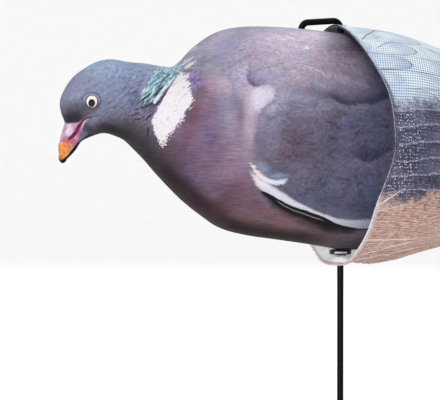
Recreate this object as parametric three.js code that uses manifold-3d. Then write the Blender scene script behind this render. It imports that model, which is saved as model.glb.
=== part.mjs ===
// A wood pigeon decoy in a feeding pose: a moulded bird on a steel ground stake, with a cloth
// wind sleeve round its rear. Millimetres, +Z up. The bird faces -X and Y = 0 is its plane of symmetry.
// The origin is the middle of the stake's flat foot, at the ground, and the stake stands on the Z axis.
import * as THREE from 'three';
import { mergeVertices } from 'three/addons/utils/BufferGeometryUtils.js';
import Module from 'manifold-3d';

// Bird
const BODY_DEPTH = 133;         // back to belly, at the stake
const BELLY_HEIGHT = 135;       // ground to belly, at the stake
const RING_POINTS = 36;         // round the body
const WING_LIFT = 1.8;          // the folded wing stands this far out of the flank
const EYE_DIAMETER = 7.4;
const EYE_DOME = 1.1;           // the eye stands this far out of the cheek

// Stake: one steel rod, bent over the back, with its end pegged into the back
const STAKE_DIAMETER = 4;
const HOOK_SPAN = 27.5;         // between the rod and its peg, centre to centre
const HOOK_OVER_BACK = 3.8;     // the bar's centre line above the back, at the peg
const HOOK_SLOPE_DEG = 4.6;     // the bar rises towards the rod
const HOOK_BEND_RADIUS = 5;
const PEG_DEPTH = 16;           // how far the peg reaches into the back
const ROD_SIDES = 12;
const BEND_STEPS = 6;

// Washer under the belly
const WASHER_DIAMETER = 13.6;
const WASHER_THICKNESS = 3;
const WASHER_EDGE_RADIUS = 0.9;
const WASHER_SIDES = 20;

// Wind sleeve
const SLEEVE_WALL = 1.2;
const SLEEVE_LENGTH = 222;
const MOUTH_WIDTH = 144;
const ROOF_GAP = 5.4;           // back to the top of the mouth
const FLOOR_DROP = 11.6;        // belly to the bottom of the mouth
const MOUTH_TO_STAKE = 3;       // the mouth lies in front of the stake
const LIP_REACH = 1.6;          // the pinned top and bottom of the mouth reach further forward
const LIP_FADE = 25;            // how far back from the mouth that reach dies out
const TAIL_WIDTH = 80;
const TAIL_THICKNESS = 2.6;
const TAIL_DROOP = 10;          // the tail's seam hangs below the middle of the mouth
const PIN_SPREAD = 11;          // how far the pull of the stake spreads in the sleeve's floor

const CLEARANCE = 0.3;          // between pieces that touch
const HUNDREDTH = BODY_DEPTH / 100;
const BODY_MIDDLE = BELLY_HEIGHT + BODY_DEPTH / 2;
const WASHER_TOP = BELLY_HEIGHT - CLEARANCE;
const WASHER_BOTTOM = WASHER_TOP - WASHER_THICKNESS;
const MOUTH_TOP = BELLY_HEIGHT + BODY_DEPTH + ROOF_GAP;
const MOUTH_BOTTOM = BELLY_HEIGHT - FLOOR_DROP;
const MOUTH_HEIGHT = MOUTH_TOP - MOUTH_BOTTOM;
const MOUTH_MIDDLE = (MOUTH_TOP + MOUTH_BOTTOM) / 2;

// The bird's sections from the bill's tip to the rump, in hundredths of the body's depth. Each one is
// [x, z] on the upper outline, [x, z] on the lower outline and the half width between them, with x
// counted from the stake and z from the middle of the body at the stake.
const SECTIONS = [
  [-139.8, -6.5, -136.5, -8.5, 1.7],
  [-140.0, -3.0, -134.3, -6.5, 2.5],
  [-139.3, 0.5, -132.3, -4.3, 3.1],
  [-138.0, 4.5, -130.0, -1.0, 3.8],
  [-137.0, 8.0, -127.5, 0.5, 5.0],
  [-138.5, 12.5, -125.0, 1.5, 7.0],
  [-139.0, 17.0, -122.0, 2.5, 8.5],
  [-137.0, 22.0, -119.0, 3.0, 9.5],
  [-133.0, 27.5, -115.5, 2.5, 10.0],
  [-127.5, 31.5, -112.5, 1.5, 10.4],
  [-121.5, 34.5, -110.0, 0.5, 10.7],
  [-115.0, 35.5, -107.5, -1.0, 11.2],
  [-107.5, 34.5, -103.5, -4.5, 12.5],
  [-99.5, 34.0, -98.0, -9.5, 15.0],
  [-92.0, 33.0, -92.5, -15.0, 18.5],
  [-85.0, 33.0, -85.5, -21.5, 23.0],
  [-79.0, 37.0, -77.5, -28.5, 27.0],
  [-72.0, 43.5, -68.5, -35.0, 30.5],
  [-63.0, 49.0, -60.0, -40.0, 33.5],
  [-52.0, 51.5, -48.0, -43.0, 35.0],
  [-37.0, 52.0, -34.0, -45.0, 35.5],
  [-21.5, 51.5, -20.0, -47.0, 35.0],
  [-7.5, 50.5, -7.5, -49.0, 34.0],
  [2.5, 49.5, 2.5, -50.5, 32.5],
  [16.0, 47.0, 16.0, -49.0, 30.0],
  [29.0, 40.5, 29.0, -42.5, 25.0],
  [40.0, 30.0, 40.0, -32.0, 18.0],
  [47.0, 16.0, 47.0, -18.5, 10.0],
];
const BILL_TIP = [-139.0, -10.0];
const RUMP_END = [50.0, -1.5];
const FINE_FROM = 15;           // from this section on, the rings are closer, for the wing's edge
const RINGS_PER_SECTION = 2;
const FINE_RINGS_PER_SECTION = 3;

// The folded wing's place on the flank, in the same hundredths
const WING_FRONT = -63.5;
const WING_LOWER_FRONT = -11;
const WING_LOWER_REAR = -42;
const WING_LOWER_FALL = 28;     // how soon the lower edge levels out behind the shoulder
const WING_EDGE = 3;            // the width of its edge
const WING_TOP = [26, 44];      // it fades into the back between these heights
const EYE = [-128.5, 16.5];

// The sleeve's sections: [share of the length, share of the mouth's height, share of the mouth's
// width, the roundness of the section: 1 is a diamond, 2 an ellipse]
const SLEEVE_SECTIONS = [
  [0, 1, 1, 1.6],
  [0.15, 0.96, 0.975, 1.72],
  [0.36, 0.80, 0.89, 1.9],
  [0.58, 0.56, 0.76, 2],
  [0.76, 0.30, 0.64, 1.95],
  [0.88, 0.11, 0.57, 1.8],
  [1, TAIL_THICKNESS / MOUTH_HEIGHT, TAIL_WIDTH / MOUTH_WIDTH, 1.7],
];
const SLEEVE_RING_POINTS = 36;
const SLEEVE_RINGS = 20;
const RING_CROWDING = 1.4;      // above 1, the rings stand closer near the mouth
const POCKET_END = 0.93;        // where the two layers meet in the tail's flat seam

const wasm = await Module();
wasm.setup();

function solid(geometry) {
  const bare = geometry.clone();
  bare.deleteAttribute('normal');
  bare.deleteAttribute('uv');
  const merged = mergeVertices(bare, 1e-4);
  return new wasm.Manifold(new wasm.Mesh({
    numProp: 3,
    vertProperties: new Float32Array(merged.attributes.position.array),
    triVerts: new Uint32Array(merged.index.array),
  }));
}

function geometryOf(manifold) {
  const mesh = manifold.getMesh();
  const geometry = new THREE.BufferGeometry();
  geometry.setAttribute('position', new THREE.BufferAttribute(new Float32Array(mesh.vertProperties), 3));
  geometry.setIndex(new THREE.BufferAttribute(new Uint32Array(mesh.triVerts), 1));
  geometry.computeVertexNormals();
  return geometry;
}

// A closed skin over rings of equal numbers of points, with a point at each end. The rings go
// anticlockwise seen from the last one.
function skin(firstPoint, rings, lastPoint) {
  const count = rings[0].length;
  const points = [firstPoint, ...rings.flat(), lastPoint];
  const last = points.length - 1;
  const faces = [];
  for (let k = 0; k < count; k += 1) {
    const next = (k + 1) % count;
    faces.push(0, 1 + next, 1 + k);
    faces.push(last, last - count + k, last - count + next);
    for (let ring = 0; ring < rings.length - 1; ring += 1) {
      const here = 1 + ring * count;
      const beyond = here + count;
      faces.push(here + k, here + next, beyond + next);
      faces.push(here + k, beyond + next, beyond + k);
    }
  }
  const geometry = new THREE.BufferGeometry();
  geometry.setAttribute('position', new THREE.Float32BufferAttribute(points.flatMap((p) => p.toArray()), 3));
  geometry.setIndex(faces);
  return geometry;
}

const smooth = (low, high, value) => THREE.MathUtils.smoothstep(value, low, high);
const point = (x, y, z) => new THREE.Vector3(x, y, z);

// Bird

// The upper and lower outlines, and the half width as a third curve, all counted alike from 0 to 1
const curveThrough = (points) => new THREE.CatmullRomCurve3(points, false, 'catmullrom', 0.5);
const upperOutline = curveThrough(SECTIONS.map(([x, z]) => point(x, 0, z)));
const lowerOutline = curveThrough(SECTIONS.map(([, , x, z]) => point(x, 0, z)));
const halfWidths = curveThrough(SECTIONS.map((row, place) => point(place, row[4], 0)));

function bodyPlace(x, y, z) {
  return point(x * HUNDREDTH, y * HUNDREDTH, BODY_MIDDLE + z * HUNDREDTH);
}

// How much of the wing's lift a point of the flank has, from 0 to 1
function wingShare(x, z) {
  const fall = Math.exp(-(x - WING_FRONT) / WING_LOWER_FALL);
  const lowerEdge = WING_LOWER_REAR + (WING_LOWER_FRONT - WING_LOWER_REAR) * fall;
  const behindFront = smooth(0, WING_EDGE, x - WING_FRONT);
  const aboveEdge = smooth(0, WING_EDGE, z - lowerEdge);
  return behindFront * aboveEdge * (1 - smooth(...WING_TOP, z));
}

function bodyRing(share) {
  const upper = upperOutline.getPoint(share);
  const lower = lowerOutline.getPoint(share);
  const halfWidth = halfWidths.getPoint(share).y;
  const middle = upper.clone().add(lower).multiplyScalar(0.5);
  const rise = upper.clone().sub(lower).multiplyScalar(0.5);
  return Array.from({ length: RING_POINTS }, (_, k) => {
    const turn = (2 * Math.PI * k) / RING_POINTS;
    const at = middle.clone().addScaledVector(rise, Math.cos(turn));
    const lift = (WING_LIFT / HUNDREDTH) * wingShare(at.x, at.z) * Math.abs(Math.sin(turn));
    return bodyPlace(at.x, -Math.sin(turn) * (halfWidth + lift), at.z);
  });
}

// The half width of the bird where its side has this x and z, in hundredths: of many sections, the
// one whose middle line passes nearest tells it
function flankAt(x, z) {
  const wanted = point(x, 0, z);
  const onLine = new THREE.Vector3();
  const tries = 1000;
  let best = { distance: Infinity, halfWidth: 0 };
  for (let step = 0; step <= tries; step += 1) {
    const share = step / tries;
    const line = new THREE.Line3(lowerOutline.getPoint(share), upperOutline.getPoint(share));
    const along = line.closestPointToPointParameter(wanted, true);
    const distance = line.at(along, onLine).distanceTo(wanted);
    if (distance < best.distance) {
      const round = Math.sqrt(1 - (2 * along - 1) ** 2);
      best = { distance, halfWidth: halfWidths.getPoint(share).y * round };
    }
  }
  return best.halfWidth;
}

// The height of the back above this x, both in millimetres, found by halving. The upper outline
// only runs backwards in its second half.
function backAt(x) {
  const halvings = 30;
  let low = 0.5;
  let high = 1;
  for (let step = 0; step < halvings; step += 1) {
    const share = (low + high) / 2;
    if (upperOutline.getPoint(share).x * HUNDREDTH < x) low = share;
    else high = share;
  }
  return BODY_MIDDLE + upperOutline.getPoint(low).z * HUNDREDTH;
}

function bodySolid() {
  const shares = [0];
  for (let place = 1; place < SECTIONS.length; place += 1) {
    const rings = place > FINE_FROM ? FINE_RINGS_PER_SECTION : RINGS_PER_SECTION;
    for (let k = 1; k <= rings; k += 1) shares.push((place - 1 + k / rings) / (SECTIONS.length - 1));
  }
  const tip = bodyPlace(BILL_TIP[0], 0, BILL_TIP[1]);
  const rump = bodyPlace(RUMP_END[0], 0, RUMP_END[1]);
  return solid(skin(tip, shares.map(bodyRing), rump));
}

// What is cut off the sloping belly to give the washer a flat seat
function seatSolid() {
  const depth = WASHER_DIAMETER / 2;
  const radius = WASHER_DIAMETER / 2 + CLEARANCE;
  const seat = new THREE.CylinderGeometry(radius, radius, depth, WASHER_SIDES);
  seat.rotateX(Math.PI / 2);
  seat.translate(0, 0, BELLY_HEIGHT - depth / 2);
  return solid(seat);
}

function eyeSolid(side) {
  const eye = new THREE.SphereGeometry(EYE_DIAMETER / 2, 16, 10);
  eye.scale(1, 2 * EYE_DOME / EYE_DIAMETER, 1);
  const centre = bodyPlace(EYE[0], side * flankAt(...EYE), EYE[1]);
  eye.translate(centre.x, centre.y, centre.z);
  return solid(eye);
}

// Stake

// The rod's centre line from the foot up, over the back and down into the peg, rounded at both bends
function stakeLine(extra) {
  const pegTop = backAt(-HOOK_SPAN) + HOOK_OVER_BACK;
  const rodTop = pegTop + HOOK_SPAN * Math.tan(THREE.MathUtils.degToRad(HOOK_SLOPE_DEG));
  const corners = [
    new THREE.Vector2(0, -extra),
    new THREE.Vector2(0, rodTop),
    new THREE.Vector2(-HOOK_SPAN, pegTop),
    new THREE.Vector2(-HOOK_SPAN, backAt(-HOOK_SPAN) - PEG_DEPTH - extra),
  ];
  const line = [corners[0]];
  for (let k = 1; k < 3; k += 1) line.push(...bend(corners[k - 1], corners[k], corners[k + 1]));
  return [...line, corners[3]];
}

// The points of the arc that rounds one corner of that line
function bend(before, corner, after) {
  const arriving = corner.clone().sub(before).normalize();
  const leaving = after.clone().sub(corner).normalize();
  const turn = Math.acos(arriving.dot(leaving));
  const start = corner.clone().addScaledVector(arriving, -HOOK_BEND_RADIUS * Math.tan(turn / 2));
  const inward = new THREE.Vector2(-arriving.y, arriving.x);
  return Array.from({ length: BEND_STEPS + 1 }, (_, k) => {
    const angle = (turn * k) / BEND_STEPS;
    return start.clone()
      .addScaledVector(inward, HOOK_BEND_RADIUS * (1 - Math.cos(angle)))
      .addScaledVector(arriving, HOOK_BEND_RADIUS * Math.sin(angle));
  });
}

// The rod grown by a gap, which also makes the holes that it passes through
function stakeSolid(gap) {
  const line = stakeLine(gap);
  const radius = STAKE_DIAMETER / 2 + gap;
  const rings = line.map((at, k) => {
    const along = line[Math.min(k + 1, line.length - 1)].clone().sub(line[Math.max(k - 1, 0)]).normalize();
    const across = new THREE.Vector2(along.y, -along.x);
    return Array.from({ length: ROD_SIDES }, (_, j) => {
      const turn = (2 * Math.PI * j) / ROD_SIDES;
      const reach = radius * Math.cos(turn);
      return point(at.x + across.x * reach, radius * Math.sin(turn), at.y + across.y * reach);
    });
  });
  const end = line[line.length - 1];
  return solid(skin(point(line[0].x, 0, line[0].y), rings, point(end.x, 0, end.y)));
}

// Washer

function washerSolid() {
  const outline = new THREE.Shape();
  const inner = STAKE_DIAMETER / 2 + CLEARANCE;
  const outer = WASHER_DIAMETER / 2;
  const edge = WASHER_EDGE_RADIUS;
  outline.moveTo(inner, WASHER_BOTTOM);
  outline.lineTo(outer - edge, WASHER_BOTTOM);
  outline.absarc(outer - edge, WASHER_BOTTOM + edge, edge, -Math.PI / 2, 0, false);
  outline.lineTo(outer, WASHER_TOP - edge);
  outline.absarc(outer - edge, WASHER_TOP - edge, edge, 0, Math.PI / 2, false);
  outline.lineTo(inner, WASHER_TOP);
  outline.lineTo(inner, WASHER_BOTTOM);
  const ring = new THREE.LatheGeometry(outline.getPoints(2), WASHER_SIDES);
  ring.rotateX(Math.PI / 2);
  return solid(ring);
}

// Sleeve

const sleeveHeights = curveThrough(SLEEVE_SECTIONS.map(([along, high]) => point(along, high, 0)));
const sleeveForms = curveThrough(SLEEVE_SECTIONS.map(([along, , wide, form]) => point(along, wide, form)));

// One ring of the sleeve, a wall's thickness in from the outside
function sleeveRing(share, inset) {
  const { x: along, y: high } = sleeveHeights.getPoint(share);
  const { y: wide, z: form } = sleeveForms.getPoint(share);
  const halfHeight = (MOUTH_HEIGHT / 2) * high - inset;
  const halfWidth = (MOUTH_WIDTH / 2) * wide - inset;
  const middle = MOUTH_MIDDLE - TAIL_DROOP * along ** 2;
  const pinnedFloor = WASHER_BOTTOM - CLEARANCE - SLEEVE_WALL + inset;
  return Array.from({ length: SLEEVE_RING_POINTS }, (_, k) => {
    const turn = (2 * Math.PI * k) / SLEEVE_RING_POINTS;
    const up = Math.sign(Math.cos(turn)) * Math.abs(Math.cos(turn)) ** (2 / form);
    const aside = -Math.sign(Math.sin(turn)) * Math.abs(Math.sin(turn)) ** (2 / form);
    const behindMouth = SLEEVE_LENGTH * along;
    const lip = LIP_REACH * Math.cos(turn) ** 2 * (1 - smooth(0, LIP_FADE, behindMouth));
    const x = behindMouth - MOUTH_TO_STAKE - lip;
    const y = halfWidth * aside;
    const z = middle + halfHeight * up;
    const pinned = up < 0 ? Math.exp(-(x ** 2 + y ** 2) / PIN_SPREAD ** 2) : 0;
    return point(x, y, THREE.MathUtils.lerp(z, pinnedFloor, pinned));
  });
}

// A lofted plug: the sleeve's outer form, or the air inside it
function sleevePlug(inset, end, before) {
  const rings = [];
  for (let k = 0; k <= SLEEVE_RINGS; k += 1) {
    rings.push(sleeveRing(end * (k / SLEEVE_RINGS) ** RING_CROWDING, inset));
  }
  if (before > 0) rings.unshift(rings[0].map((at) => at.clone().setX(at.x - before)));
  const middle = (ring) => ring.reduce((sum, at) => sum.add(at), point(0, 0, 0)).divideScalar(ring.length);
  return solid(skin(middle(rings[0]), rings, middle(rings[rings.length - 1])));
}

function sleeveSolid() {
  const air = sleevePlug(SLEEVE_WALL, POCKET_END, 2 * LIP_REACH);
  return sleevePlug(0, 1, 0).subtract(air);
}

// The object

const hole = stakeSolid(CLEARANCE);
const bird = bodySolid().add(eyeSolid(-1)).add(eyeSolid(1)).subtract(hole).subtract(seatSolid());

const decoy = new THREE.Group();
const finishes = {
  pigeon_body: [bird, 0x77707f, 0.75, 0],
  ground_stake: [stakeSolid(0), 0x101010, 0.45, 0.2],
  stake_washer: [washerSolid(), 0x141414, 0.5, 0],
  wind_sleeve: [sleeveSolid().subtract(hole), 0xb9b3c4, 0.95, 0],
};
for (const [name, [form, color, roughness, metalness]] of Object.entries(finishes)) {
  const finish = new THREE.MeshStandardMaterial({ color, roughness, metalness });
  const mesh = new THREE.Mesh(geometryOf(form), finish);
  mesh.name = name;
  decoy.add(mesh);
}

export default decoy;
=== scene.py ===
"""The finishes and the cloth of a wood pigeon decoy in a feeding pose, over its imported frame.

Lengths are in millimetres until a mesh is made, +Z up. The bird faces -X and Y = 0 is its plane of
symmetry. Places in the paint are given where the photograph shows them, in its pixels, and both
sides of the bird get the same paint.
"""
import math
from functools import partial, reduce
from types import SimpleNamespace

import bpy
import numpy as np
from mathutils import Matrix


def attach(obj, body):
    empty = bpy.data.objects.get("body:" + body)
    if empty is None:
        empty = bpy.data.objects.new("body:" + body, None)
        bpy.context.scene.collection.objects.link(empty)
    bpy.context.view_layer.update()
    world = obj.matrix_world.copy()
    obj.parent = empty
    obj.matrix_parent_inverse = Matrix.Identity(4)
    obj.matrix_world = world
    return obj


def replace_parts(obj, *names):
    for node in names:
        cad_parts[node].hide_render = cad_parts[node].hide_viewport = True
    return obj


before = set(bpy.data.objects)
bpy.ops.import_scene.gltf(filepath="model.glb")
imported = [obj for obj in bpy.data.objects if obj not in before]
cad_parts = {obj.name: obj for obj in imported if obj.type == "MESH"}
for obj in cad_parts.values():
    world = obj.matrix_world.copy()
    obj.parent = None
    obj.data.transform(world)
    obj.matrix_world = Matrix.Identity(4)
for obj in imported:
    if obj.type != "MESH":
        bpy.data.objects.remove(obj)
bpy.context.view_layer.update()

MM = 0.001                      # a millimetre in metres
TONE_SHARE = 0.6                # the studio is brighter than 1, so a tone gives back this much less

# Camera: where the photograph was taken from
VIEW_WIDTH = 440
VIEW_HEIGHT = 400
VIEW_AZIMUTH = math.radians(-26)
VIEW_ELEVATION = math.radians(1)
VIEW_DISTANCE = 1250
VIEW_FOCUS = 2083.3             # the focal length in pixels
VIEW_TARGET = np.array([-82.7, 0, 165.9])
SENSOR_WIDTH = 36
PIXEL = VIEW_DISTANCE / VIEW_FOCUS

# Bird, with the sizes and sections of its solid
BODY_DEPTH = 133
BELLY_HEIGHT = 135
HUNDREDTH = BODY_DEPTH / 100
BODY_MIDDLE = BELLY_HEIGHT + BODY_DEPTH / 2
WING_LIFT = 1.8
EYE_DIAMETER = 7.4
EYE_DOME = 1.1
EYE = (-128.5, 16.5)
EYE_BACK = 1.5                  # how deep its flat back lies in the cheek
EYE_POINTS = 48
EYE_RINGS = 14
CHEEK_ROWS = 900                # the grid of places in which the eye's own is looked up
CHEEK_COLUMNS = 400
PUPIL_AHEAD = 0.45
PUPIL_BELOW = 0.9
PUPIL_HALF_WIDTH = 2.1
PUPIL_HALF_HEIGHT = 2.3
# Each section is [x, z] on the upper outline, [x, z] on the lower one and the half width, in
# hundredths of the body's depth, x from the stake and z from the middle of the body
SECTIONS = [
    [-139.8, -6.5, -136.5, -8.5, 1.7],
    [-140.0, -3.0, -134.3, -6.5, 2.5],
    [-139.3, 0.5, -132.3, -4.3, 3.1],
    [-138.0, 4.5, -130.0, -1.0, 3.8],
    [-137.0, 8.0, -127.5, 0.5, 5.0],
    [-138.5, 12.5, -125.0, 1.5, 7.0],
    [-139.0, 17.0, -122.0, 2.5, 8.5],
    [-137.0, 22.0, -119.0, 3.0, 9.5],
    [-133.0, 27.5, -115.5, 2.5, 10.0],
    [-127.5, 31.5, -112.5, 1.5, 10.4],
    [-121.5, 34.5, -110.0, 0.5, 10.7],
    [-115.0, 35.5, -107.5, -1.0, 11.2],
    [-107.5, 34.5, -103.5, -4.5, 12.5],
    [-99.5, 34.0, -98.0, -9.5, 15.0],
    [-92.0, 33.0, -92.5, -15.0, 18.5],
    [-85.0, 33.0, -85.5, -21.5, 23.0],
    [-79.0, 37.0, -77.5, -28.5, 27.0],
    [-72.0, 43.5, -68.5, -35.0, 30.5],
    [-63.0, 49.0, -60.0, -40.0, 33.5],
    [-52.0, 51.5, -48.0, -43.0, 35.0],
    [-37.0, 52.0, -34.0, -45.0, 35.5],
    [-21.5, 51.5, -20.0, -47.0, 35.0],
    [-7.5, 50.5, -7.5, -49.0, 34.0],
    [2.5, 49.5, 2.5, -50.5, 32.5],
    [16.0, 47.0, 16.0, -49.0, 30.0],
    [29.0, 40.5, 29.0, -42.5, 25.0],
    [40.0, 30.0, 40.0, -32.0, 18.0],
    [47.0, 16.0, 47.0, -18.5, 10.0],
]
BILL_TIP = (-139.0, -10.0)
RUMP_END = (50.0, -1.5)
WING_FRONT = -63.5
WING_LOWER_FRONT = -11
WING_LOWER_REAR = -42
WING_LOWER_FALL = 28
WING_EDGE = 3
WING_TOP = (26, 44)
BODY_RINGS = 316
BODY_POINTS = 288
COARSE_FROM = 0.62              # from this share of the length on, the rings stand further apart
COARSE_SPACING = 2.0
CAP_RINGS = 5
OUTLINE_SAMPLES = 4001
# How far the moulded details stand out of the plain skin, or lie in it
SHOULDER_HEIGHT = 1.1
EDGE_HEIGHT = 0.5
GAP_DEPTH = 0.6
FOLD_DEPTH = 0.35
LOCK_DEPTH = 0.9
LOCK_RIM_HEIGHT = 0.3
PATCH_HEIGHT = 0.25
EYE_RING_HEIGHT = 0.4
EYE_FURROW_DEPTH = 0.35
BILL_SWELL_HEIGHT = 0.3
GAPE_DEPTH = 0.5
GAPE_CORNER_DEPTH = 0.3
TIP_HEIGHT = 0.2

# Stake
STAKE_RADIUS = 2
HOOK_SPAN = 27.5
HOOK_OVER_BACK = 3.8
HOOK_SLOPE = math.radians(4.6)
HOOK_BEND_RADIUS = 5
PEG_DEPTH = 16
FOOT_CHAMFER = 0.3
ROD_STEPS = 60
BAR_STEPS = 8
BEND_STEPS = 20
ROD_POINTS = 32

# Washer
WASHER_RADIUS = 6.8
WASHER_THICKNESS = 3
WASHER_EDGE_RADIUS = 0.9
WASHER_HOLE_RADIUS = 2.3
WASHER_HOLE_ROUNDING = 0.25
WASHER_GROOVE_DEPTH = 0.12
WASHER_GROOVE_HALF_HEIGHT = 0.2
WASHER_TOP = BELLY_HEIGHT - 0.3
WASHER_BOTTOM = WASHER_TOP - WASHER_THICKNESS
WASHER_POINTS = 72

# Wind sleeve: its cloth lies in the middle of its solid's wall
SLEEVE_WALL = 1.2
SLEEVE_LENGTH = 222
MOUTH_WIDTH = 144
MOUTH_TOP = BELLY_HEIGHT + BODY_DEPTH + 5.4
MOUTH_BOTTOM = BELLY_HEIGHT - 11.6
MOUTH_HEIGHT = MOUTH_TOP - MOUTH_BOTTOM
MOUTH_MIDDLE = (MOUTH_TOP + MOUTH_BOTTOM) / 2
MOUTH_TO_STAKE = 3
LIP_REACH = 1.6
LIP_FADE = 25
# Where the mouth's edge is out of true: degrees round from its top, how many degrees wide, and how
# far it stands forward and hangs down there
MOUTH_BENDS = [(60, 15, -2.6, 0), (121, 17, 3.9, 0), (161, 9, 0, 1.3)]
TAIL_WIDTH = 80
TAIL_DROOP = 10
PIN_SPREAD = 11
PIN_SPREAD_AHEAD = 3.8          # the free lip in front of the stake hangs
PIN_GAP = 0.3                   # between the washer and the wall that is drawn up under it
CLOTH_THICKNESS = 0.55
TAIL_GAP = 0.35                 # half of the way between the two cloths in the tail's seam
TAIL_CLOSES = (0.88, 0.94)      # shares of the length between which the two cloths come together
# Each section is the share of the length, of the mouth's height and of its width, and the roundness
SLEEVE_SECTIONS = [
    [0, 1, 1, 1.6],
    [0.15, 0.96, 0.975, 1.72],
    [0.36, 0.80, 0.89, 1.9],
    [0.58, 0.56, 0.76, 2],
    [0.76, 0.30, 0.64, 1.95],
    [0.88, 0.11, 0.57, 1.8],
    [1, 2.6 / MOUTH_HEIGHT, TAIL_WIDTH / MOUTH_WIDTH, 1.7],
]
SLEEVE_RINGS = 150
SLEEVE_POINTS = 300
RING_CROWDING = 1.4
EYELET_RADIUS = 2.25
EYELET_CUT = 1.6                # the cloth within this of the stake's axis is cut out
EYELET_PULL = 9                 # how far round the eyelet the cloth is drawn aside

WEAVE_ROUND = 2.0               # the weave's pitch round the cloth and along it
WEAVE_ALONG = 1.6
# The creases that fan out from the stake's holes: how many there are in a full turn, how far they
# reach and how high they stand
FLOOR_CREASES = (15, 62, 0.75)
ROOF_CREASES = (9, 40, 0.5)
# The printed feathers of the back: their width and length, by what share of a width the first row
# lies lower, and by what share of a length each row is shifted forwards
VANE_WIDTH = 14
VANE_LENGTH = 29
VANE_START = 0.14
VANE_SHIFT = 0.37
QUILL_WIDTH = 10
QUILL_RUN = 75                  # the way back over which a quill rises by its own width
# Where the pale back and the tan underside come in, from 1 at the sleeve's top to -1 at its lowest
# line, and at which shares of its length the tail's grey and its dark band do
PALE_FROM = (0.3, 0.5)
TAN_FROM = (-0.4, -0.54)
TAIL_GREY_FROM = (0.66, 0.74)
TAIL_BAND_FROM = (0.84, 0.87)
# Lines on the cloth, for drawn_lines: creases with a painted highlight, measured up from its lowest
# line, and the printed feathers' dark edges measured down from its highest one
CREASE_LINES = [
    (42.6, -0.04, 1, 36, 0.5, 0.85), (25, 0.4, 4, 34, 0.5, 0.75), (20, 0.18, 4, 44, 0.55, 0.9),
    (67, 0.2, 0, 22, 0.4, 0.5), (71, 0.8, 0, 12, 0.6, 0.8), (59.5, -0.1, 0, 24, 0.35, 0.4),
    (33, 0.1, 3, 30, 0.3, 0.4),
]
PRINT_LINES = [
    (32.4, -0.94, 4, 24, 0.5, 0.85), (44, -0.62, 10, 24, 0.4, 0.7), (43.3, 0.07, 2, 18, 0.35, 0.5),
    (57.9, 0, 0, 14, 0.6, 0.85),
]

# Threads
THREAD_RADIUS = 0.24
THREAD_POINTS = 6
LOOP_STEPS = 12
HEM_LOOPS = 300
HEM_SAMPLES = 720
HEM_REACH = 1.9                 # how far the overlock stitch reaches in from the cloth's edge
HEM_LIFT = 0.52                 # and how far it stands off the cloth
EYELET_LOOPS = 22
EYELET_POINTS = 96
EYELET_REACH = 1.5
EYELET_LIFT = 0.45
EYELET_THREAD_RADIUS = 0.9 * THREAD_RADIUS
TAIL_STITCHES = 26
TAIL_SAMPLES = 400
TAIL_SEAMS = (0.955, 0.972)     # shares of the length at which the tail's two rows lie
STITCH_POINTS = 9
STITCH_PART = (0.15, 0.8)       # the part of its own run that a stitch shows on top of the cloth
STITCH_RISE = 0.75              # how far its middle stands off the cloth, and how far its ends dip
STITCH_DIP = 0.5
# The heights at which the mouth's thread changes colour
THREAD_LOWEST = (MOUTH_BOTTOM + 10, MOUTH_BOTTOM + 3)
THREAD_SIDE = (MOUTH_MIDDLE - 36, MOUTH_MIDDLE - 22)
THREAD_TOP = (MOUTH_MIDDLE + 38, MOUTH_MIDDLE + 50)

# Studio
STUDIO_RADIUS = 3000
STUDIO_CURVE = 2400
STUDIO_POINTS = 96
WORLD_LIGHT = 1.0
# Each lamp's name, its place and size in metres, and its power in watts
LAMPS = [
    ("high_left", (-1.1, -1.2, 1.7), 1.1, 16),
    ("behind", (0.9, 1.3, 1.5), 1.0, 10),
    ("low_front", (-0.9, -0.9, 0.05), 0.7, 16),
]


def as_light(shown):
    """The share of the light that a surface gives back for tones shown from 0 to 255"""
    shown = np.asarray(shown) / 255
    light = np.where(shown < 0.04045, shown / 12.92, ((shown + 0.055) / 1.055) ** 2.4)
    return light * TONE_SHARE


def tone(red, green, blue):
    """A colour for a finish, given as the photograph shows it"""
    return (*as_light([red, green, blue]), 1.0)


def smooth(low, high, value):
    """0 below low, 1 above high and an even S between them"""
    share = np.clip((value - low) / (high - low), 0, 1)
    return share * share * (3 - 2 * share)


def through(rows, share):
    """The curve through the rows, counted from 0 to 1: each stretch is the cubic whose slope at
    each end is half the step between that end's two neighbours"""
    rows = np.asarray(rows, float)
    longer = np.vstack([2 * rows[0] - rows[1], rows, 2 * rows[-1] - rows[-2]])
    place = np.clip(share, 0, 1) * (len(rows) - 1)
    start = np.minimum(place.astype(int), len(rows) - 2)
    part = (place - start)[..., None]
    before, here, there, beyond = (longer[start + k] for k in range(4))
    bow = 2 * before - 5 * here + 4 * there - beyond
    twist = 3 * (here - there) + beyond - before
    return here + part / 2 * (there - before + part * (bow + part * twist))


def unit(vectors):
    """The same directions with length 1"""
    return vectors / np.maximum(np.linalg.norm(vectors, axis=-1, keepdims=True), 1e-9)


# Objects

def new_object(name, data):
    """An object of the scene, at the origin, unturned and unscaled"""
    thing = bpy.data.objects.new(name, data)
    bpy.context.scene.collection.objects.link(thing)
    return thing


def aim(thing, place, right, back):
    """Puts a camera or a lamp at a place in metres, its right side and its back facing these ways"""
    matrix = np.eye(4)
    matrix[:3, :3] = np.column_stack([right, np.cross(back, right), back])
    matrix[:3, 3] = place
    thing.matrix_world = Matrix(matrix.tolist())


# Camera

VIEW_BACK = np.array([
    math.sin(VIEW_AZIMUTH) * math.cos(VIEW_ELEVATION),
    -math.cos(VIEW_AZIMUTH) * math.cos(VIEW_ELEVATION),
    math.sin(VIEW_ELEVATION),
])
VIEW_RIGHT = np.array([math.cos(VIEW_AZIMUTH), math.sin(VIEW_AZIMUTH), 0])
VIEW_UP = np.cross(VIEW_BACK, VIEW_RIGHT)


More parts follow.
